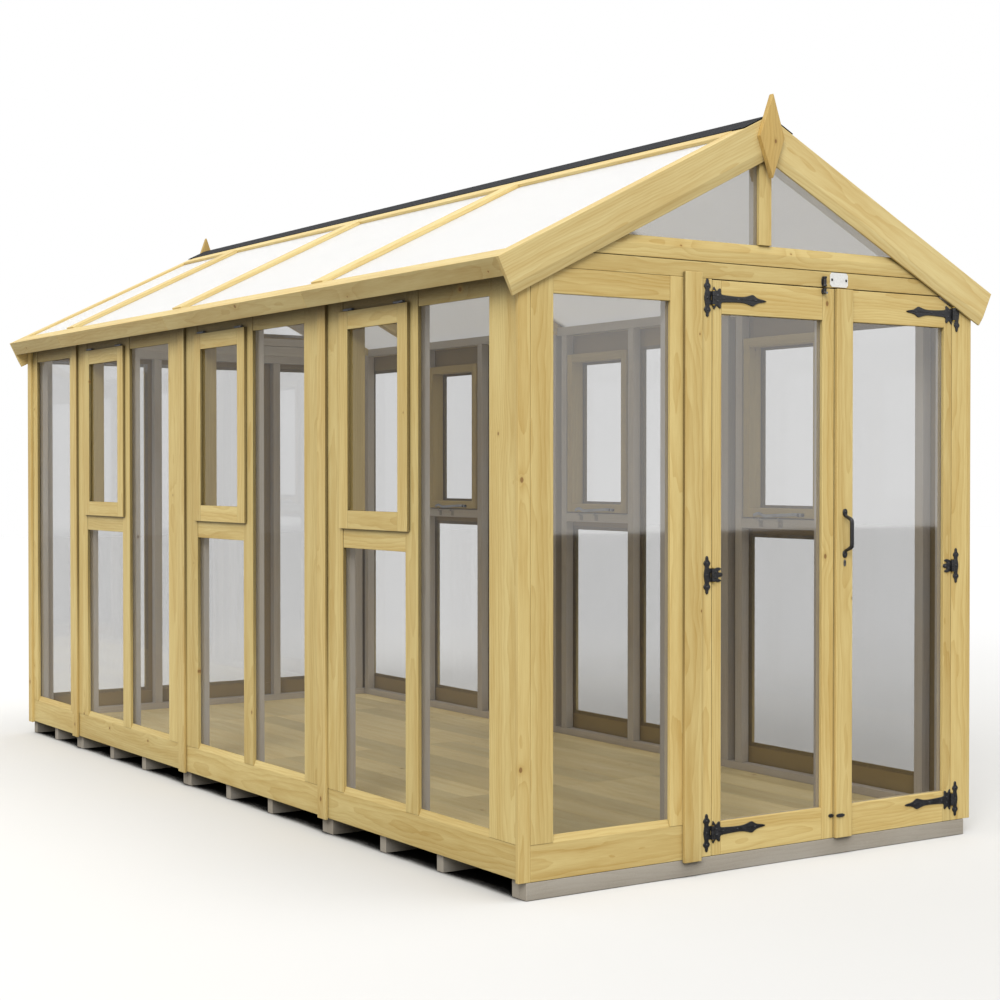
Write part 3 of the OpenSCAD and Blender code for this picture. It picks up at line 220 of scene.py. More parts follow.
def timber(name, early, late, knot, shade=1.0, roughness=0.6, ring=0.0085, knots=0.84, grey=None,
           inner=None, spread=0.12, facing_shade=None, corner_shade=None):
    """Softwood, from three attributes of the mesh.

    grain is (along, across, through) from the board's middle, board is three random numbers, and
    face is (end grain, facing inwards, eased edge). early and late are the two woods of a ring.
    facing_shade is painted shade by facing: the light kept by upright faces and by faces that
    look up. corner_shade is painted shade in corners: its reach, the light kept there, the
    openness from which and to which it fades, and the share of it that a board near the ground
    gets.
    """
    f = Finish(name)
    along, across, through = f.attribute("grain")
    first, second, third = f.attribute("board")
    end, inward, edge = f.attribute("face")

    # Knots: one point in each cell of a stretched 2-D pattern, kept where its colour is high
    cell_u, cell_v = KNOT_CELL
    cu = along / cell_u + first * 41
    cv = across / cell_v + second * 23
    cells = f.add("ShaderNodeTexVoronoi", {"voronoi_dimensions": "2D"},
                  {"Vector": f.join(cu, cv), "Scale": 1.0, "Randomness": 0.9}, out="Position")
    pick = Wire(f, cells.socket.node.outputs["Color"])
    pu, pv, _ = f.split(cells)
    keep, girth, _ = f.split(pick)
    away_u = (pu - cu) * cell_u
    away_v = (pv - cv) * cell_v
    gap = ((away_u * 0.72) ** 2 + away_v * away_v).root()
    there = keep > knots
    girth = girth * KNOT_GIRTH[1] + KNOT_GIRTH[0]
    heart = (gap / girth).span(1.2, 0.7) * there
    halo = (gap / girth).span(3.0, 0.9) * there
    push = math.e ** (gap * gap * -WHORL) * there

    # Rings: distance from the tree's heart line, bent by two noises and pushed by knots
    slow = f.noise(f.join(along * 0.9 + first * 31, across * 3.2, through * 3.2 + second * 9), 1.0)
    curl = f.noise(f.join(along * 5 + third * 17, across * 20, through * 20 + first * 7), 1.0)
    heart_v = (second - 0.5) * 0.12
    heart_w = third * 0.09 + 0.025
    far = ((across - heart_v) ** 2 + (through + heart_w) ** 2).root()
    bend = (slow - 0.5) * 0.075 + (curl - 0.5) * 0.015
    late_wood = ((far + bend + push * 0.010) / ring).part() ** 2.2

    # Streaks, pores and blotches
    broad = f.noise(f.join(along * 1.6 + second * 19, across * 26, through * 26 + first * 13),
                    1.0, 3.0)
    fine = f.noise(f.join(along * 16, across * 420, through * 420 + third * 5), 1.0)
    patch = f.noise(f.join(along * 2.4 + third * 29, across * 7, through * 7), 1.0)
    tone = late_wood * 0.36 + broad.span(0.30, 0.75) * 0.44 + (fine - 0.5) * 0.60 + patch * 0.18

    # Light that the board keeps: its random tone, times painted shade by facing and in corners
    tone_and_shade = (0.985 + (first - 0.5) * spread + (slow - 0.5) * 0.12) * shade
    # Painted shade by facing: faces are made lighter or darker by how far they look up
    if facing_shade is not None:
        upright, level = facing_shade
        looks_up = f.split(f.add("ShaderNodeNewGeometry", out="Normal"))[2]
        tone_and_shade = tone_and_shade * (looks_up.span(0.15, 0.75) * (level - upright) + upright)
    # Painted shade: the colour darkens where the Ambient Occlusion node finds little open air
    if corner_shade is not None:
        reach, kept, low, high, share = corner_shade
        open_air = f.add("ShaderNodeAmbientOcclusion", {"samples": 6}, {"Distance": reach},
                         out="AO")
        strength = f.split(f.here())[2].span(*NEAR_GROUND) * (1 - share) + share
        tone_and_shade = tone_and_shade * (1 - (1 - open_air.span(low, high)) * (1 - kept) * strength)

    colour = f.add("ShaderNodeVectorMath", {"operation": "SCALE"},
                   {0: f.mix(tone, early, late), "Scale": tone_and_shade})
    if grey is not None:
        colour = f.mix(patch.span(0.35, 0.75) * 0.5 + third * 0.25, colour, grey)
    colour = f.mix(halo * 0.38, colour, late)
    colour = f.mix(heart * 0.75, colour, knot)
    colour = f.mix(end * 0.30, colour, late)
    # Eased edges are painted lighter, towards the early wood: a painted highlight
    colour = f.mix(edge * 0.22, colour, early)
    # Faces that look into the house take the inner colour, a darker brown: painted shade
    if inner is not None:
        colour = f.mix(inward * 0.92, colour, inner)

    normal = f.bump(late_wood * 0.5 + fine * 0.6 - heart * 0.5, RELIEF, 0.6)
    rough = roughness + (fine - 0.5) * 0.25 - late_wood * 0.05
    return f.show(f.shader(Base_Color=colour, Roughness=rough, Normal=normal,
                           Specular_IOR_Level=0.35))


SIDE_SHADE = (0.24, 0.24, 0.48, 0.93, 0.25)  # the painted corner shade of the long sides' boards
FACING = (srgb(220, 198, 134), srgb(188, 153, 82), srgb(122, 80, 40))
# The inner colour of the wall boards, a darker brown: painted shade on faces that look into the
# house
SHADED_BACKS = srgb(146, 124, 76)
# Faces of this wood that look up are painted darker: painted shade
OUTER = timber("planed_softwood", *FACING, inner=SHADED_BACKS, facing_shade=(1.0, 0.88),
               corner_shade=(0.14, 0.42, 0.10, 0.75, 0.5))
SIDE_OUTER = timber("side_softwood", srgb(222, 201, 137), srgb(190, 156, 84), srgb(122, 80, 40),
                    inner=SHADED_BACKS, facing_shade=(1.0, 0.88), corner_shade=SIDE_SHADE)
STRIPS = timber("strip_softwood", *FACING, corner_shade=SIDE_SHADE)
CORNERS = timber("corner_softwood", *FACING)
# A touch lighter than the walls' facing wood: painted light on the roof timbers
ROOF_WOOD = timber("roof_softwood", srgb(224, 205, 146), srgb(196, 163, 95), srgb(126, 84, 44))
# The fascias' upright faces are painted darker than their tops: painted shade
FASCIA_WOOD = timber("fascia_softwood", srgb(222, 202, 142), srgb(192, 158, 90), srgb(124, 82, 42),
                     facing_shade=(0.84, 1.0))
FINIAL_WOOD = timber("finial_softwood", srgb(204, 174, 106), srgb(170, 134, 70), srgb(118, 78, 40))
# Paler than the floor's own wood, and shade above 1: painted light for the dim inside
FLOORING = timber("floor_softwood", srgb(242, 224, 170), srgb(222, 194, 130), srgb(134, 98, 60),
                  ring=0.007, spread=0.26, shade=1.04)
STUDDING = timber("stud_softwood", srgb(202, 191, 174), srgb(174, 161, 142), srgb(112, 92, 70),
                  grey=srgb(188, 185, 180), roughness=0.75, knots=0.9)
# A darker copy of the sashes' facing wood: painted shade for the dim inner frames
SASH_INNER = timber("sash_inner_softwood", srgb(192, 170, 110), srgb(164, 142, 86),
                    srgb(92, 70, 44), roughness=0.7)
# The bearers' corner shade paints their sides dark under the house: painted shade
BEARER = timber("bearer_softwood", srgb(184, 175, 160), srgb(162, 151, 134), srgb(112, 92, 72),
                grey=srgb(174, 168, 158), roughness=0.8, corner_shade=(0.30, 0.10, 0.10, 0.72, 1.0))
print("timbers ready")

# %% [markdown]
# ## Metal, glass and plastic
# Japanned iron is near black, slightly hammered, and shines along its raised spots. A pane is
# thin, so it needs no bending of light: a tinted see-through shader, mixed by Fresnel with a
# mirror, lets lamps and eyes through and still picks up the sky. Opal roof sheet glows when
# lit from behind, which a Translucent shader mixed into white plastic gives.

# %% Metal finishes


def iron(name, colour, shine, roughness=0.42, specular=0.5):
    """Painted metal: dents from a cell pattern, worn colour from a noise over Object space."""
    f = Finish(name)
    here = f.here()
    dents = f.add("ShaderNodeTexVoronoi", {"feature": "SMOOTH_F1"},
                  {"Vector": here, "Scale": 190.0, "Smoothness": 0.6})
    grit = f.noise(here, 900.0)
    wear = f.noise(here, 60.0, 3.0)
    tint = f.mix(wear.span(0.45, 0.75) * 0.6 + grit * 0.2, colour, shine)
    normal = f.bump(dents * 0.7 + grit * 0.3, 0.0009, 0.7)
    rough = roughness + (wear - 0.5) * 0.35
    return f.show(f.shader(Base_Color=tint, Roughness=rough, Normal=normal, Metallic=0.0,
                           Specular_IOR_Level=specular))


def metal(name, colour, dull, roughness=0.34, metallic=0.85):
    """Bare metal with fine brushing and clouds of dullness."""
    f = Finish(name)
    here = f.here()
    brush = f.noise(here, 700.0)
    cloud = f.noise(here, 26.0, 3.0)
    tint = f.mix(cloud.span(0.4, 0.7) * 0.6 + brush * 0.25, colour, dull)
    rough = roughness + (brush - 0.5) * 0.2 + (cloud - 0.5) * 0.2
    normal = f.bump(brush, 0.0001, 0.5)
    return f.show(f.shader(Base_Color=tint, Roughness=rough, Normal=normal, Metallic=metallic))


BLACK_IRON = iron("japanned_iron", srgb(26, 26, 28), srgb(54, 54, 57))
SCREW_IRON = iron("screw_iron", srgb(30, 30, 32), srgb(86, 86, 90), roughness=0.35)
ZINC = metal("zinc_steel", srgb(150, 155, 160), srgb(112, 117, 123))
DULL_STEEL = metal("stay_steel", srgb(164, 166, 170), srgb(128, 131, 136), roughness=0.5,
                   metallic=0.5)
PEG_PAINT = metal("peg_paint", srgb(158, 152, 144), srgb(140, 134, 126), roughness=0.8,
                  metallic=0.0)
HINGE_STEEL = metal("sash_hinge_steel", srgb(116, 120, 128), srgb(92, 96, 104), roughness=0.65,
                    metallic=0.35)
BRASS = metal("brass", srgb(212, 178, 74), srgb(150, 118, 46), roughness=0.3)
RIDGE_METAL = iron("ridge_metal", srgb(24, 25, 28), srgb(38, 40, 44), roughness=0.75,
                   specular=0.15)
KEYHOLE = iron("keyhole_plate", srgb(92, 88, 82), srgb(112, 106, 98), roughness=0.5)
ENAMEL = iron("white_enamel", srgb(232, 232, 230), srgb(214, 214, 212), roughness=0.3)
print("metals ready")

# %% Panes and roof sheets


def glazing(name, tint, mirror, least):
    """Clear glass: see-through with a slight tint and faint smears; mirror times Fresnel, and
    never less than least, is its share of reflection."""
    f = Finish(name)
    x, y, z = f.split(f.here())
    smear = f.noise(f.join(x * 2.2, y * 2.2, z * 0.9), 1.4, 3.0)
    through = f.add("ShaderNodeBsdfTransparent", None, {
        "Color": f.mix(smear.span(0.35, 0.75) * 0.2, tint, [value * 0.95 for value in tint])})
    shine = f.add("ShaderNodeBsdfGlossy", None,
                  {"Color": (0.95, 0.95, 0.95, 1), "Roughness": 0.03})
    facing = f.add("ShaderNodeFresnel", None, {"IOR": 1.5})
    behind = f.add("ShaderNodeNewGeometry", out="Backfacing")
    mirrored = (facing * mirror + least) * (1 - behind)
    both = f.add("ShaderNodeMixShader", None, {0: mirrored, 1: through, 2: shine})
    return f.show(both)


FLUTE = 0.010  # from one rib of the sheet to the next
GLOW = 0.44  # the share of light that the sheet passes on


def roofing(name):
    """Opal twin-wall sheet: flutes down the slope as fine ribs, aglow where light is behind."""
    f = Finish(name)
    x, y, z = f.split(f.here())
    flute = ((y / FLUTE) * math.tau).wave() * 0.5 + 0.5
    haze = f.noise(f.join(x * 3, y * 1.2, z * 3), 2.0, 3.0)
    white = f.mix(flute * 0.16 + haze.span(0.4, 0.8) * 0.08,
                  srgb(252, 252, 252), srgb(226, 229, 232))
    normal = f.bump(flute, 0.0006, 0.35)
    skin = f.shader(Base_Color=white, Roughness=0.28 + haze * 0.12, Normal=normal)
    glow = f.add("ShaderNodeBsdfTranslucent", None, {"Color": white})
    return f.show(f.add("ShaderNodeMixShader", None, {0: GLOW, 1: skin, 2: glow}))


SIDE_PANE = glazing("side_pane", tint=(0.885, 0.885, 0.885), mirror=0.5, least=0.01)
END_PANE = glazing("end_pane", tint=(0.882, 0.882, 0.882), mirror=2.0, least=0.085)
SHEET = roofing("opal_sheet")
print("glass and sheet ready")

# %% [markdown]
# ## From solids to boards
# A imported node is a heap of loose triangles. Merging its corners, finding which triangles hang
# together and reading off each solid's longest edge tells us where every board runs. Planar
# faces are made whole by a Decimate modifier and the sharp corners eased by a Bevel modifier;
# the finished mesh is then given the grain, board and face attributes that the timber reads.

# %% Reading a node's triangles


def read(items, name, width=1, kind=float):
    """One property of all the points, edges, faces or corners, a row for each of them."""
    values = np.empty(len(items) * width, kind)
    items.foreach_get(name, values)
    return values.reshape(-1, width) if width > 1 else values


def loose_mesh(node):
    """The node's triangles with corners merged that lie within a hundredth of a millimetre."""
    source = frame["nodes"][node].data
    source.calc_loop_triangles()
    points = read(source.vertices, "co", 3)
    corners = read(source.loop_triangles, "vertices", 3, np.int64)
    keys = np.round(points * 1e5).astype(np.int64)
    _, kept, merged = np.unique(keys, axis=0, return_index=True, return_inverse=True)
    triangles = merged.reshape(-1)[corners]
    whole = (triangles != np.roll(triangles, 1, axis=1)).all(1)
    return points[kept], triangles[whole]


def groups_of(count, edges):
    """A number for each point, the same for points joined by edges: the lowest number spreads."""
    label = np.arange(count)
    while True:
        low = np.minimum(label[edges[:, 0]], label[edges[:, 1]])
        spread = label.copy()
        np.minimum.at(spread, edges[:, 0], low)
        np.minimum.at(spread, edges[:, 1], low)
        spread = spread[spread]
        if (spread == label).all():
            return np.unique(label, return_inverse=True)[1].reshape(-1)
        label = spread


def eased(node, name, radius):
    """A new object from the node's solids: merged, flat faces whole, hard edges rounded."""
    points, triangles = loose_mesh(node)
    mesh = bpy.data.meshes.new(name)
    mesh.from_pydata(points, [], triangles)
    rough = bpy.data.objects.new(name, mesh)
    bpy.context.scene.collection.objects.link(rough)
    flat = rough.modifiers.new("whole_faces", "DECIMATE")
    flat.decimate_type = "DISSOLVE"
    flat.angle_limit = math.radians(0.5)
    bevel = rough.modifiers.new("eased_edges", "BEVEL")
    bevel.width = radius
    bevel.segments = 2
    bevel.limit_method = "ANGLE"
    bevel.angle_limit = math.radians(20)
    bevel.use_clamp_overlap = False
    depsgraph = bpy.context.evaluated_depsgraph_get()
    finished = bpy.data.meshes.new_from_object(rough.evaluated_get(depsgraph))
    rough.modifiers.clear()
    rough.data = finished
    finished.name = name
    return rough


print("nodes can be read and eased")

# %% Where each board runs


def largest(owner, value, solids):
    """For each solid, the number of the edge or face that it owns with the largest value."""
    order = np.lexsort((value, owner))
    return order[np.searchsorted(owner[order], np.arange(solids), side="right") - 1]


def board_frames(mesh, upright=False):
    """For each solid of a mesh: its middle, its long axis, its thin axis and its width axis."""
    points = read(mesh.vertices, "co", 3)
    edges = read(mesh.edges, "vertices", 2, np.int64)
    label = groups_of(len(points), edges)
    solids = label.max() + 1

    reach = points[edges[:, 1]] - points[edges[:, 0]]
    length = np.linalg.norm(reach, axis=1)
    longest = largest(label[edges[:, 0]], length, solids)
    axis = reach[longest] / length[longest][:, None]
    if upright:
        axis = np.tile([0.0, 0.0, 1.0], (solids, 1))

    area = read(mesh.polygons, "area")
    normal = read(mesh.polygons, "normal", 3)
    start = read(mesh.polygons, "loop_start", 1, np.int64)
    owner = label[read(mesh.loops, "vertex_index", 1, np.int64)[start]]
    thin = normal[largest(owner, area, solids)]
    thin = thin - (thin * axis).sum(1)[:, None] * axis
    thin /= np.maximum(np.linalg.norm(thin, axis=1), 1e-9)[:, None]
    wide = np.cross(axis, thin)

    low = np.full((solids, 3), 1e9)
    high = np.full((solids, 3), -1e9)
    np.minimum.at(low, label, points)
    np.maximum.at(high, label, points)
    return {"points": points, "label": label, "owner": owner, "normal": normal, "area": area,
            "middle": (low + high) / 2, "low": low, "high": high,
            "axis": axis, "thin": thin, "wide": wide}


def dice(middle):
    """Three numbers from 0 to 1 for each solid: the fraction of a large sine of its middle."""
    mixers = np.array([[12.99, 78.23, 37.72], [39.35, 11.13, 83.16], [73.16, 52.24, 9.15]])
    return np.mod(np.sin(middle @ mixers.T) * 43758.55, 1.0)


def write_attribute(mesh, name, domain, values):
    layer = mesh.attributes.new(name, "FLOAT_VECTOR", domain)
    layer.data.foreach_set("vector", np.ascontiguousarray(values, np.float32).ravel())


print("boards can be measured")

# %% Grain for each board
HOUSE_MIDDLE = np.array([0.0, 0.0, 1.0])
HALF_HOUSE = (0.934, 2.09)  # from the middle to the outer faces of the side and the end walls
NARROW = 0.012  # a face whose area is less than this squared is an eased edge


def grain_attributes(mesh, upright=False):
    """Writes grain on the points, and board and face on the faces. grain is each point's
    distance from its solid's middle along the long, the wide and the thin axis."""
    b = board_frames(mesh, upright)
    away = b["points"] - b["middle"][b["label"]]
    grain = np.stack([(away * b[key][b["label"]]).sum(1) for key in ("axis", "wide", "thin")], 1)
    write_attribute(mesh, "grain", "POINT", grain)
    write_attribute(mesh, "board", "FACE", dice(b["middle"])[b["owner"]])
    end = np.abs((b["normal"] * b["axis"][b["owner"]]).sum(1)) > 0.8
    edge = np.sqrt(b["area"]) < NARROW
    centre = b["middle"][b["owner"]]
    to_house = HOUSE_MIDDLE - centre
    wall_x = np.abs(centre[:, 0]) / HALF_HOUSE[0]
    wall_y = np.abs(centre[:, 1]) / HALF_HOUSE[1]
    side = np.where((wall_x > wall_y)[:, None], [1.0, 0, 0], [0, 1.0, 0])
    inward = (b["normal"] * np.sign(to_house) * side).sum(1) > 0.7
    write_attribute(mesh, "face", "FACE", np.stack([end, inward & ~end, edge & ~end], 1))
    return b


def dress(node, finishes, radius=0.0016, upright=False, choose=None):
    """Stands for a CAD node with an eased copy. choose gives each solid its finish's number."""
    piece = eased(node, node + "_dressed", radius)
    b = grain_attributes(piece.data, upright)
    piece.data.materials.clear()
    for finish in finishes:
        piece.data.materials.append(finish)
    if choose is not None:
        index = choose(b)[b["owner"]].astype(np.int32)
        piece.data.polygons.foreach_set("material_index", index)
    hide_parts(node)
    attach(piece, BODY_OF[node])
    return piece


print("grain and dressing ready")

# %% [markdown]
# ## Walls, floor and roof timbers
# Every wooden node keeps its shape and gains its edges and grain. A node that holds two kinds
# of wood, such as a door with its pale facing and its grey inner frame, picks a finish for each
# solid by where that solid lies.

# %% Dress the fixed timbers
for node, finish in {
        "floor_joists": BEARER, "floor_boards": FLOORING,
        "left_wall_frame": STUDDING, "right_wall_frame": STUDDING,
        "front_wall_frame": STUDDING, "back_wall_frame": STUDDING,
        "left_wall_boards": SIDE_OUTER, "right_wall_boards": SIDE_OUTER,
        "front_wall_boards": OUTER, "back_wall_boards": OUTER,
        "cover_strips": STRIPS, "corner_boards": CORNERS,
        "rafters": ROOF_WOOD, "ridge_board": ROOF_WOOD, "roof_cover_strips": ROOF_WOOD,
        "eaves_fascias": FASCIA_WOOD, "bargeboards": ROOF_WOOD}.items():
    piece = dress(node, [finish])
    print(piece.name, len(piece.data.polygons), "faces")
dress("finials", [FINIAL_WOOD], upright=True)

# %% Dress the gables, doors and sashes
END_FACE = 2.0822  # from the middle to the front of the end walls' boards
SASH_FACE = 0.917  # from the middle to the back of a sash's face members
NEAR_FACE = 0.016  # the middle of a gable's outer piece lies this close to that front
DOOR_FACING = 0.018  # the middle of a door's facing lies this close behind the wall's boards
KNUCKLE_SIZE = 0.03  # a sash's solid below this size is a knuckle of its hinges
MID_RAIL = 1.45  # the pegs of the stays lie below this height, the sash hinges above it


def behind_face(b):
    """1 for the solids that stand behind an end wall's boards, 0 for the rest."""
    return (np.abs(np.abs(b["middle"][:, 1]) - END_FACE) > NEAR_FACE).astype(int)


def behind_door(b):
    """1 for the inner frame of a door, 0 for its facing."""
    return (b["middle"][:, 1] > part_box("front_wall_boards")[0].y + DOOR_FACING).astype(int)


for node in ("front_gable_frame", "back_gable_frame"):
    dress(node, [OUTER, STUDDING], choose=behind_face)
for node in ("left_door_frame", "right_door_frame"):
    dress(node, [OUTER, STUDDING], choose=behind_door)


def sash_part(b):
    """0 for a face member, 1 for a member of the inner frame, 2 for a metal knuckle."""
    deep = np.abs(b["middle"][:, 0]) < SASH_FACE
    small = (b["high"] - b["low"]).max(1) < KNUCKLE_SIZE
    return np.where(small, 2, np.where(deep, 1, 0))


SASHES = [f"{side}_{number}" for side in ("left", "right") for number in (1, 2, 3)]
for sash in SASHES:
    dress("sash_" + sash, [SIDE_OUTER, SASH_INNER, HINGE_STEEL], choose=sash_part, radius=0.0012)
print("timbers dressed")

# %% Glass, sheets and ironwork


def paint(node, finish):
    """Gives a CAD node a finish without touching its shape."""
    slots = frame["nodes"][node].data.materials
    slots.clear()
    slots.append(finish)


for node in ["left_wall_glass", "right_wall_glass"] + ["sash_glass_" + sash for sash in SASHES]:
    paint(node, SIDE_PANE)
for node in ("end_wall_glass", "left_door_glass", "right_door_glass"):
    paint(node, END_PANE)
paint("roof_sheets", SHEET)
paint("ridge_cap", RIDGE_METAL)
paint("hinge_pins", BRASS)
paint("blank_plate", ENAMEL)
paint("plate_screws", SCREW_IRON)
for node in ("lock_case", "lock_bolt", "top_bolt_rod"):
    paint(node, ZINC)
dress("sash_hinges", [HINGE_STEEL, PEG_PAINT], radius=0.0004,
      choose=lambda b: (b["middle"][:, 2] < MID_RAIL).astype(int))
print("nodes painted")

# %% [markdown]
# ## Ironwork drawn as outlines
# A strap hinge is a flat bar with a shaped edge. Its outline is a short list of points, rounded by
# cutting each corner twice; three rings of that outline, the last a little smaller, make a plate
# with a softened rim. Barrels, the handle's bar and the stays are rods: a ring of points carried
# along a path. All of a piece's parts go into one heap, which becomes one mesh.

# %% Outlines and paths


def rectangle(left, right, low, high):
    """Four corners in x and z, listed round from the lower left."""
    return np.array([(left, low), (right, low), (right, high), (left, high)], float)


def rounded(points, times=2):
    """A closed outline with its corners cut: each edge keeps the points at 1/4 and 3/4 of it."""
    points = np.asarray(points, float)
    for _ in range(times):
        ahead = np.roll(points, -1, axis=0)
        points = np.stack([points * 0.75 + ahead * 0.25, points * 0.25 + ahead * 0.75], 1)
        points = points.reshape(-1, 2)
    return points


def softened(points, times=3):
    """An open path with its corners cut in the same way, and its two ends kept."""
    points = np.asarray(points, float)
    for _ in range(times):
        near = points[:-1] * 0.75 + points[1:] * 0.25
        far = points[:-1] * 0.25 + points[1:] * 0.75
        inner = np.stack([near, far], 1).reshape(-1, points.shape[1])
        points = np.concatenate([points[:1], inner, points[-1:]])
    return points


def mirrored_outline(half):
    """The whole outline from its upper half, listed from left to right: z is turned over."""
    half = np.asarray(half, float)
    return np.concatenate([half, (half * (1, -1))[::-1]])


def circle(count):
    """Angles once round, the last one step short of the first."""
    return np.linspace(0, 2 * np.pi, count, endpoint=False)


print("outlines can be rounded")

# %% Heaps of plates, rods, tubes and screw heads
HEAD_HEIGHT = 1.4  # of a screw
SMOOTH = math.radians(40)  # an edge that turns by more than this is shaded as a sharp one


class Heap:
    """Points in millimetres and faces of a piece's parts, with the finish of each part."""

    def __init__(self):
        self.points, self.faces, self.finish, self.count = [], [], [], 0

    def add(self, rings, finish, hollow=False):
        """Closed rings of equal size, joined by quads, with a flat face over each end; in a
        hollow part the last ring joins the first instead."""
        steps, around = rings.shape[:2]
        index = np.arange(steps * around).reshape(steps, around) + self.count
        if hollow:
            near, far, ends = index, np.roll(index, -1, axis=0), []
        else:
            near, far, ends = index[:-1], index[1:], [index[0][::-1].tolist(), index[-1].tolist()]
        quads = np.stack([near, np.roll(near, -1, axis=1), np.roll(far, -1, axis=1), far], -1)
        faces = quads.reshape(-1, 4).tolist() + ends
        self.points.append(rings.reshape(-1, 3))
        self.faces += faces
        self.finish += [finish] * len(faces)
        self.count += steps * around

    def plate(self, outline, at, back, front, finish=0, flip=1, rim=0.8):
        """An outline in x and z, moved by at, from y = back to y = front; the front ring is drawn
        in by rim along the outline's own normals. flip = -1 mirrors it in x."""
        ahead = np.roll(outline, -1, axis=0) - np.roll(outline, 1, axis=0)
        ahead /= np.linalg.norm(ahead, axis=1)[:, None]
        x, z = outline.T
        area = (x * np.roll(z, -1) - np.roll(x, -1) * z).sum()
        inwards = np.stack([-ahead[:, 1], ahead[:, 0]], 1) * np.sign(area)
        rings = []
        for y, draw in ((back, 0.0), (front + rim * np.sign(back - front), 0.0), (front, rim)):
            x, z = (outline + inwards * draw).T
            rings.append(np.stack([x * flip + at[0], np.full(len(x), y), z + at[1]], 1))
        self.add(np.array(rings), finish)

    def rod(self, path, radius, side=(1.0, 0.0, 0.0), finish=0, flat=1.0):
        """A ring of points carried along a path that lies square to side; radius may differ from
        point to point, and flat squeezes the ring along side."""
        path = np.asarray(path, float)
        side = np.asarray(side, float)
        ahead = np.gradient(path, axis=0)
        ahead /= np.linalg.norm(ahead, axis=1)[:, None]
        over = np.cross(ahead, side)
        turn = circle(16)
        radius = np.broadcast_to(radius, len(path))[:, None, None]
        rings = (path[:, None] + radius * flat * np.cos(turn)[None, :, None] * side
                 + radius * np.sin(turn)[None, :, None] * over[:, None])
        self.add(rings, finish)

    def tube(self, foot, heights, outer, bore):
        """An upright tube: rings up the outside at the given heights and radii, then down the
        bore and back to the first."""
        z = np.concatenate([heights, heights[::-1]])
        radius = np.concatenate([outer, np.full(len(heights), bore)])[:, None]
        turn = circle(20)
        x, y = foot[0] + radius * np.cos(turn), foot[1] + radius * np.sin(turn)
        self.add(np.stack([x, y, np.broadcast_to(z[:, None], x.shape)], -1), 0, hollow=True)

    def dome(self, centre, radius):
        """A screw head that looks towards -y: rings of a flattened half ball, in the second
        finish."""
        rise = (np.linspace(0, 0.92, 4) * np.pi / 2)[:, None]
        turn = circle(14)
        x = centre[0] + radius * np.cos(rise) * np.cos(turn)
        z = centre[2] + radius * np.cos(rise) * np.sin(turn)
        y = np.broadcast_to(centre[1] - HEAD_HEIGHT * np.sin(rise), x.shape)
        self.add(np.stack([x, y, z], -1), 1)

    def piece(self, name, node, finishes):
        """One object from the heap, in place of a CAD node and on its body."""
        mesh = bpy.data.meshes.new(name)
        mesh.from_pydata(np.concatenate(self.points) / 1000, [], self.faces)
        for finish in finishes:
            mesh.materials.append(finish)
        mesh.polygons.foreach_set("material_index", np.array(self.finish, np.int32))
        shell = bmesh.new()
        shell.from_mesh(mesh)
        bmesh.ops.recalc_face_normals(shell, faces=shell.faces)
        shell.to_mesh(mesh)
        shell.free()
        mesh.shade_smooth()
        mesh.set_sharp_from_angle(angle=SMOOTH)
        made = bpy.data.objects.new(name, mesh)
        bpy.context.scene.collection.objects.link(made)
        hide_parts(node)
        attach(made, BODY_OF[node])
        print(name, len(mesh.polygons), "faces")


print("heaps ready")

# %% Outlines of the doors' hinges, in millimetres
FACE = -END_FACE * 1000
BACK, FRONT = FACE - 0.3, FACE - 3.3  # of the leaves and straps, just off the boards
BARREL = 6.0  # radius of a knuckle
KNUCKLE = 13.6  # height of a knuckle
AXES = ((-214.5, 1), (841.5, -1))  # x of each door's pins, and the side its straps reach to
HINGE_HEIGHTS = (126.0, 922.0, 1775.0)
STRAP_HOLES = ((46, 0), (104, 0), (176, 0), (20, 9), (20, -9))
PRONG_HOLES = ((14, 9), (14, -9), (31, 0))
LEAF_OUT = 20.5  # from the pin to the middle of a fixed leaf
BLADE = [(33, 13), (48, 11), (104, 8.6), (130, 9.8), (147, 14), (163, 18.6), (170, 15), (184, 7),
         (213, 3.4), (219, 0)]
ROOT = [(2, 0), (2, 21), (2.5, 32), (6, 36), (9.5, 31), (17, 21), (24, 29), (31, 32), (34, 27)]
LOW_ROOT = [(2, 0), (2, 15), (6, 18), (13, 17), (17, 18), (24, 24), (31, 27), (34, 24)]
STRAP = rounded(mirrored_outline(ROOT + BLADE))
UNDER_EAVES = rounded(np.concatenate([
    np.array(LOW_ROOT + BLADE), (np.array(ROOT + BLADE) * (1, -1))[::-1]]))
PRONGS = rounded(mirrored_outline([
    (2, 0), (2, 18), (5, 17), (14, 21), (27, 23.5), (38, 17.5), (31, 15), (22, 10.5), (27, 7),
    (39, 6.5), (42, 0)]))
LEAF_HALF = np.array([(-9, -17), (-7, -27), (-12, -32), (-13.5, -37), (-10.5, -42), (-5.5, -46),
                      (-5.5, -54), (-2.5, -58.5), (0, -59)])
BALUSTER = rounded(np.concatenate([
    LEAF_HALF, (LEAF_HALF * (-1, 1))[::-1][1:], [(12.5, 0)], LEAF_HALF * (-1, -1),
    (LEAF_HALF * (1, -1))[::-1][1:], [(-12.5, 0)]]))
print("a strap's outline has", len(STRAP), "points")

# %% Hinges of the doors


def barrel(heap, x, z):
    """One knuckle around the pin of a hinge, with rounded lips."""
    up = np.array([-0.5, -0.46, 0.46, 0.5]) * KNUCKLE
    path = np.stack([np.full(4, x), np.full(4, FACE - BARREL - 1), z + up], 1)
    heap.rod(path, np.array([0.86, 1, 1, 0.86]) * BARREL)


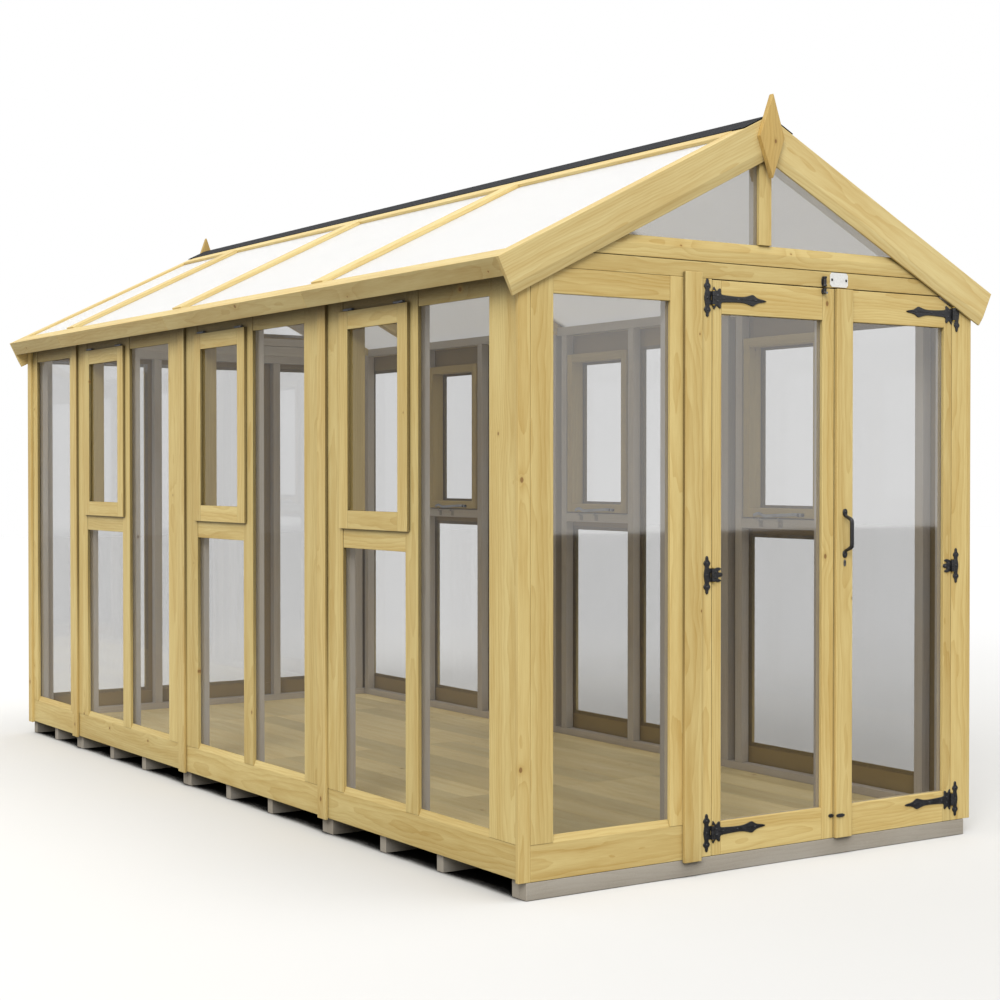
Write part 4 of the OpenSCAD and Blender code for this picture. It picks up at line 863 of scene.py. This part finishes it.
leaves = Heap()
for x, flip in AXES:
    for z in HINGE_HEIGHTS:
        leaves.plate(BALUSTER, (x - LEAF_OUT * flip, z), BACK, FRONT, flip=flip)
        for up in (-37, 0, 37):
            leaves.dome((x - LEAF_OUT * flip, FRONT, z + up), 3.6)
        for up in (-14, 14):
            barrel(leaves, x, z + up)
            tie = rectangle(-7, -1, -6.5, 6.5)
            leaves.plate(tie, (x, z + up), BACK, FRONT, flip=flip, rim=0.3)
        web = rectangle(-12, -6.6, -20.5, 20.5)
        leaves.plate(web, (x, z), BACK, FRONT, flip=flip, rim=0.3)
leaves.piece("hinge_leaves_drawn", "hinge_leaves", [BLACK_IRON, SCREW_IRON])

FOOT_BAR = 4.7  # thickness of the short bar at the doors' foot, one half on each door
for (x, flip), node in zip(AXES, ("left_door_straps", "right_door_straps")):
    straps = Heap()
    highest = STRAP if flip > 0 else UNDER_EAVES
    for z, outline, holes in zip(HINGE_HEIGHTS, (STRAP, PRONGS, highest),
                                 (STRAP_HOLES, PRONG_HOLES, STRAP_HOLES)):
        straps.plate(outline, (x, z), BACK, FRONT, flip=flip)
        barrel(straps, x, z)
        for along, up in holes:
            straps.dome((x + along * flip, FRONT, z + up), 3.4)
    low, high = [corner * 1000 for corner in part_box(node)]
    left, right, back = ((276.7, 296.2, BACK) if flip > 0
                         else (299.8, 333.3, low.y + FOOT_BAR))
    straps.plate(rounded(rectangle(left, right, -5.5, 5.5), 1), (0, 126.5), back, back - FOOT_BAR)
    straps.piece(node + "_drawn", node, [BLACK_IRON, SCREW_IRON])

# %% Handle of the right door
SHIFT = 11.5  # the photograph shows the handle this far left of its CAD solid
GRIP_Z, KEYHOLE_Z = 1041.0, 945.0  # heights of the grip's middle and of the keyhole plate's
TAB = 3.6  # thickness of the tabs that hold the grip
low, high = [corner * 1000 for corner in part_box("door_handle")]
middle, base = (low.x + high.x) / 2 - SHIFT, high.y
handle = Heap()
tab = rounded(rectangle(-9.5, 9.5, -12, 12))
for sign in (-1, 1):
    handle.plate(tab, (middle, GRIP_Z + sign * 67.5), base, base - TAB, rim=1.2)
    handle.dome((middle, base - TAB, GRIP_Z + sign * 70), 3.2)
bow = softened([(-2.5, 64), (-2.5, 57), (-31, 45), (-33, 37), (-33, 0), (-33, -37), (-31, -45),
                (-2.5, -57), (-2.5, -64)], 2)
path = np.stack([np.full(len(bow), middle), base + bow[:, 0], GRIP_Z + bow[:, 1]], 1)
thick = 5.2 + 1.5 * np.clip((-bow[:, 0] - 12) / 14, 0, 1)  # slender feet, a fuller grip
handle.rod(path, thick)
escutcheon = rounded(rectangle(-5.5, 5.5, -11, 11), 3)
handle.plate(escutcheon, (middle, KEYHOLE_Z), base, base - 1.6, finish=2, rim=0.6)
slot = rounded([(-1.6, -6), (1.6, -6), (1.6, 0), (3, 2), (3, 5), (0, 6.5), (-3, 5), (-3, 2),
                (-1.6, 0)])
handle.plate(slot, (middle, KEYHOLE_Z), base - 1.5, base - 1.75, finish=0, rim=0.1)
handle.piece("door_handle_drawn", "door_handle", [BLACK_IRON, SCREW_IRON, KEYHOLE])

# %% Top bolt and casement stays
BORE = 4.6  # radius of the hole that the rod slides in
OFF_WOOD = 7.1  # from the wood to the rod's middle
BACK_PLATE = 2.2  # thickness of the plate behind the tube
for node, collars in (("top_bolt_keeper", (0.08, 0.92)), ("top_bolt_barrel", (0.2,))):
    low, high = [corner * 1000 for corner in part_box(node)]
    x, tall = (low.x + high.x) / 2, high.z - low.z
    share = np.linspace(0, 1, 33)
    swell = sum(np.exp(-((share - collar) * tall / 3.2) ** 4) for collar in collars)
    body = 6.0 + 1.5 * swell - 0.8 * (np.abs(share - 0.5) > 0.499)
    bolt = Heap()
    bolt.tube((x, high.y - OFF_WOOD), low.z + share * tall, body, BORE)
    foot = rounded(rectangle(-8, 8, 0.5, tall - 0.5), 1)
    bolt.plate(foot, (x, low.z), high.y, high.y - BACK_PLATE)
    bolt.piece(node + "_drawn", node, [BLACK_IRON])

STAY = softened([(4, 3), (30, 4), (38, 5), (110, 2), (205, -3), (226, -4), (246, 5), (262, 6),
                 (284, -2)])
STAY_HALF, STAY_FLAT = 5.9, 0.36  # half the bar's height, and its thickness as a share of that
PEG_PLACES = (9, 31)  # along the stay, from its near end
for sash in SASHES:
    node = "stay_" + sash
    low, high = [corner * 1000 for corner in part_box(node)]
    x, y, z = (low.x + high.x) / 2, low.y, (low.z + high.z) / 2
    path = np.stack([np.full(len(STAY), x), y + STAY[:, 0], z + STAY[:, 1]], 1)
    stay = Heap()
    stay.rod(path, STAY_HALF, flat=STAY_FLAT)
    for along in PEG_PLACES:
        hub = np.array([(x + out, y + along, z + 3) for out in (-4, -3.4, 3.4, 4)])
        stay.rod(hub, np.array([5.0, 6.4, 6.4, 5.0]), side=(0, 1, 0), finish=1)
    stay.piece(node + "_drawn", node, [DULL_STEEL, SCREW_IRON])
print("bolt and stays drawn")

# %% [markdown]
# ## The studio
# A pale floor that stays nearly white to the camera and keeps the object's shadow, a white
# world, and two broad lamps: a key that meets the front and the left side alike, and one from
# above. The floor is darkest where the bearers stand on it. What the panes mirror of it is
# darker before the front than out to the left, as the photograph's panes show.

# %% Floor
FLOOR_DROP = 0.0005  # keeps the floor just under the bearers
LIT_LEFT, LIT_RIGHT = (0.775, 0.770, 0.755), (0.665, 0.662, 0.652)  # what the camera sees; the floor is painted darker to the right, a painted shadow
LIT_FAR = (0.725, 0.725, 0.725)
CONTACT = (0.004, 0.004, 0.004)  # where the bearers shut out the light: a painted contact shadow
BOUNCE = (0.30, 0.30, 0.29)  # what the floor sends up to the house
PANES_LEFT, PANES_FRONT = (0.55, 0.55, 0.55), (0.07, 0.07, 0.07)  # what the panes mirror


def stage_floor(half):
    """A flat square from -half to half in x and y, at the height where the bearers stand."""
    line = np.array([-half, half])
    x, y = np.meshgrid(line, line)
    points = np.stack([x, y, np.full_like(x, -FLOOR_DROP)], -1).reshape(-1, 3)
    mesh = bpy.data.meshes.new("studio_floor")
    mesh.from_pydata(points, [], [(0, 1, 3, 2)])
    floor = bpy.data.objects.new("studio_floor", mesh)
    bpy.context.scene.collection.objects.link(floor)
    return floor


floor = stage_floor(28.0)
f = Finish("studio_floor")
paths = f.add("ShaderNodeLightPath").socket.node
seen = Wire(f, paths.outputs["Is Camera Ray"])
mirrored = Wire(f, paths.outputs["Is Glossy Ray"])
x, y, _ = f.split(f.here())
ahead = (x - y).span(-6.0, 2.0)
in_panes = f.mix(ahead, PANES_LEFT, PANES_FRONT)
open_sky = f.add("ShaderNodeAmbientOcclusion", {"samples": 16}, {"Distance": 0.15}, out="AO")
lit = f.mix((x - y).span(-1.5, 3.5), LIT_LEFT, LIT_RIGHT)
near = f.mix(open_sky.span(0.34, 0.52), CONTACT, lit)
far_away = (x * x + y * y).root().span(3.2, 9.0)
direct = f.mix(far_away, near, LIT_FAR)
pale = f.mix(seen, f.mix(mirrored, BOUNCE, in_panes), direct)
matt = f.shader(Base_Color=pale, Roughness=1.0, Specular_IOR_Level=0.0)
floor.data.materials.append(f.show(matt))
print("floor ready")

# %% World: an even light, and plain white for eyes, mirrors and glass
f = Finish("studio", bpy.data.worlds, "ShaderNodeOutputWorld")
rays = f.add("ShaderNodeLightPath").socket.node.outputs
eyes = Wire(f, rays["Is Camera Ray"]) + Wire(f, rays["Is Glossy Ray"])
white = f.add("ShaderNodeMath", {"operation": "ADD", "use_clamp": True},
              {0: eyes, 1: Wire(f, rays["Is Transmission Ray"])})
even = f.add("ShaderNodeBackground", None, {"Color": (1.0, 0.995, 0.98, 1), "Strength": 0.70})
bright = f.add("ShaderNodeBackground", None, {"Color": (1, 1, 1, 1), "Strength": 1.0})
bpy.context.scene.world = f.show(
    f.add("ShaderNodeMixShader", None, {0: white, 1: even, 2: bright}))
print("world ready")

# %% Lamps


def sun(name, heading, height, strength, spread):
    """A far lamp. heading is the angle from +x that it shines from, height its angle above the
    floor, and spread its width, all in degrees."""
    lamp = bpy.data.lights.new(name, "SUN")
    lamp.energy = strength
    lamp.angle = math.radians(spread)
    holder = bpy.data.objects.new(name, lamp)
    bpy.context.scene.collection.objects.link(holder)
    holder.rotation_euler = (math.radians(90 - height), 0, math.radians(heading + 90))


sun("key_lamp", heading=-135, height=35, strength=1.95, spread=30)
sun("top_lamp", heading=-60, height=76, strength=1.10, spread=40)
print("lamps ready")

# %% [markdown]
# ## The camera
# Two vanishing points of the photograph gave the direction of view and the length of the lens,
# and one known module gave the distance. The camera stands at 1.24 m, left of the front corner.

# %% Camera
EYE = (-3.8794, -6.4501, 1.2355)
HEADING, PITCH = 56.578, -0.832  # degrees from +x, and above the level
LENS = 66.157  # millimetres on a film 36 mm wide
lens = bpy.data.cameras.new("camera")
lens.sensor_width = 36.0
lens.lens = LENS
lens.clip_end = 200.0
camera = bpy.data.objects.new("camera", lens)
bpy.context.scene.collection.objects.link(camera)
camera.location = EYE
camera.rotation_euler = (math.radians(90 + PITCH), 0, math.radians(HEADING - 90))
bpy.context.scene.camera = camera
bpy.context.scene.view_settings.view_transform = "Standard"
print("camera ready")
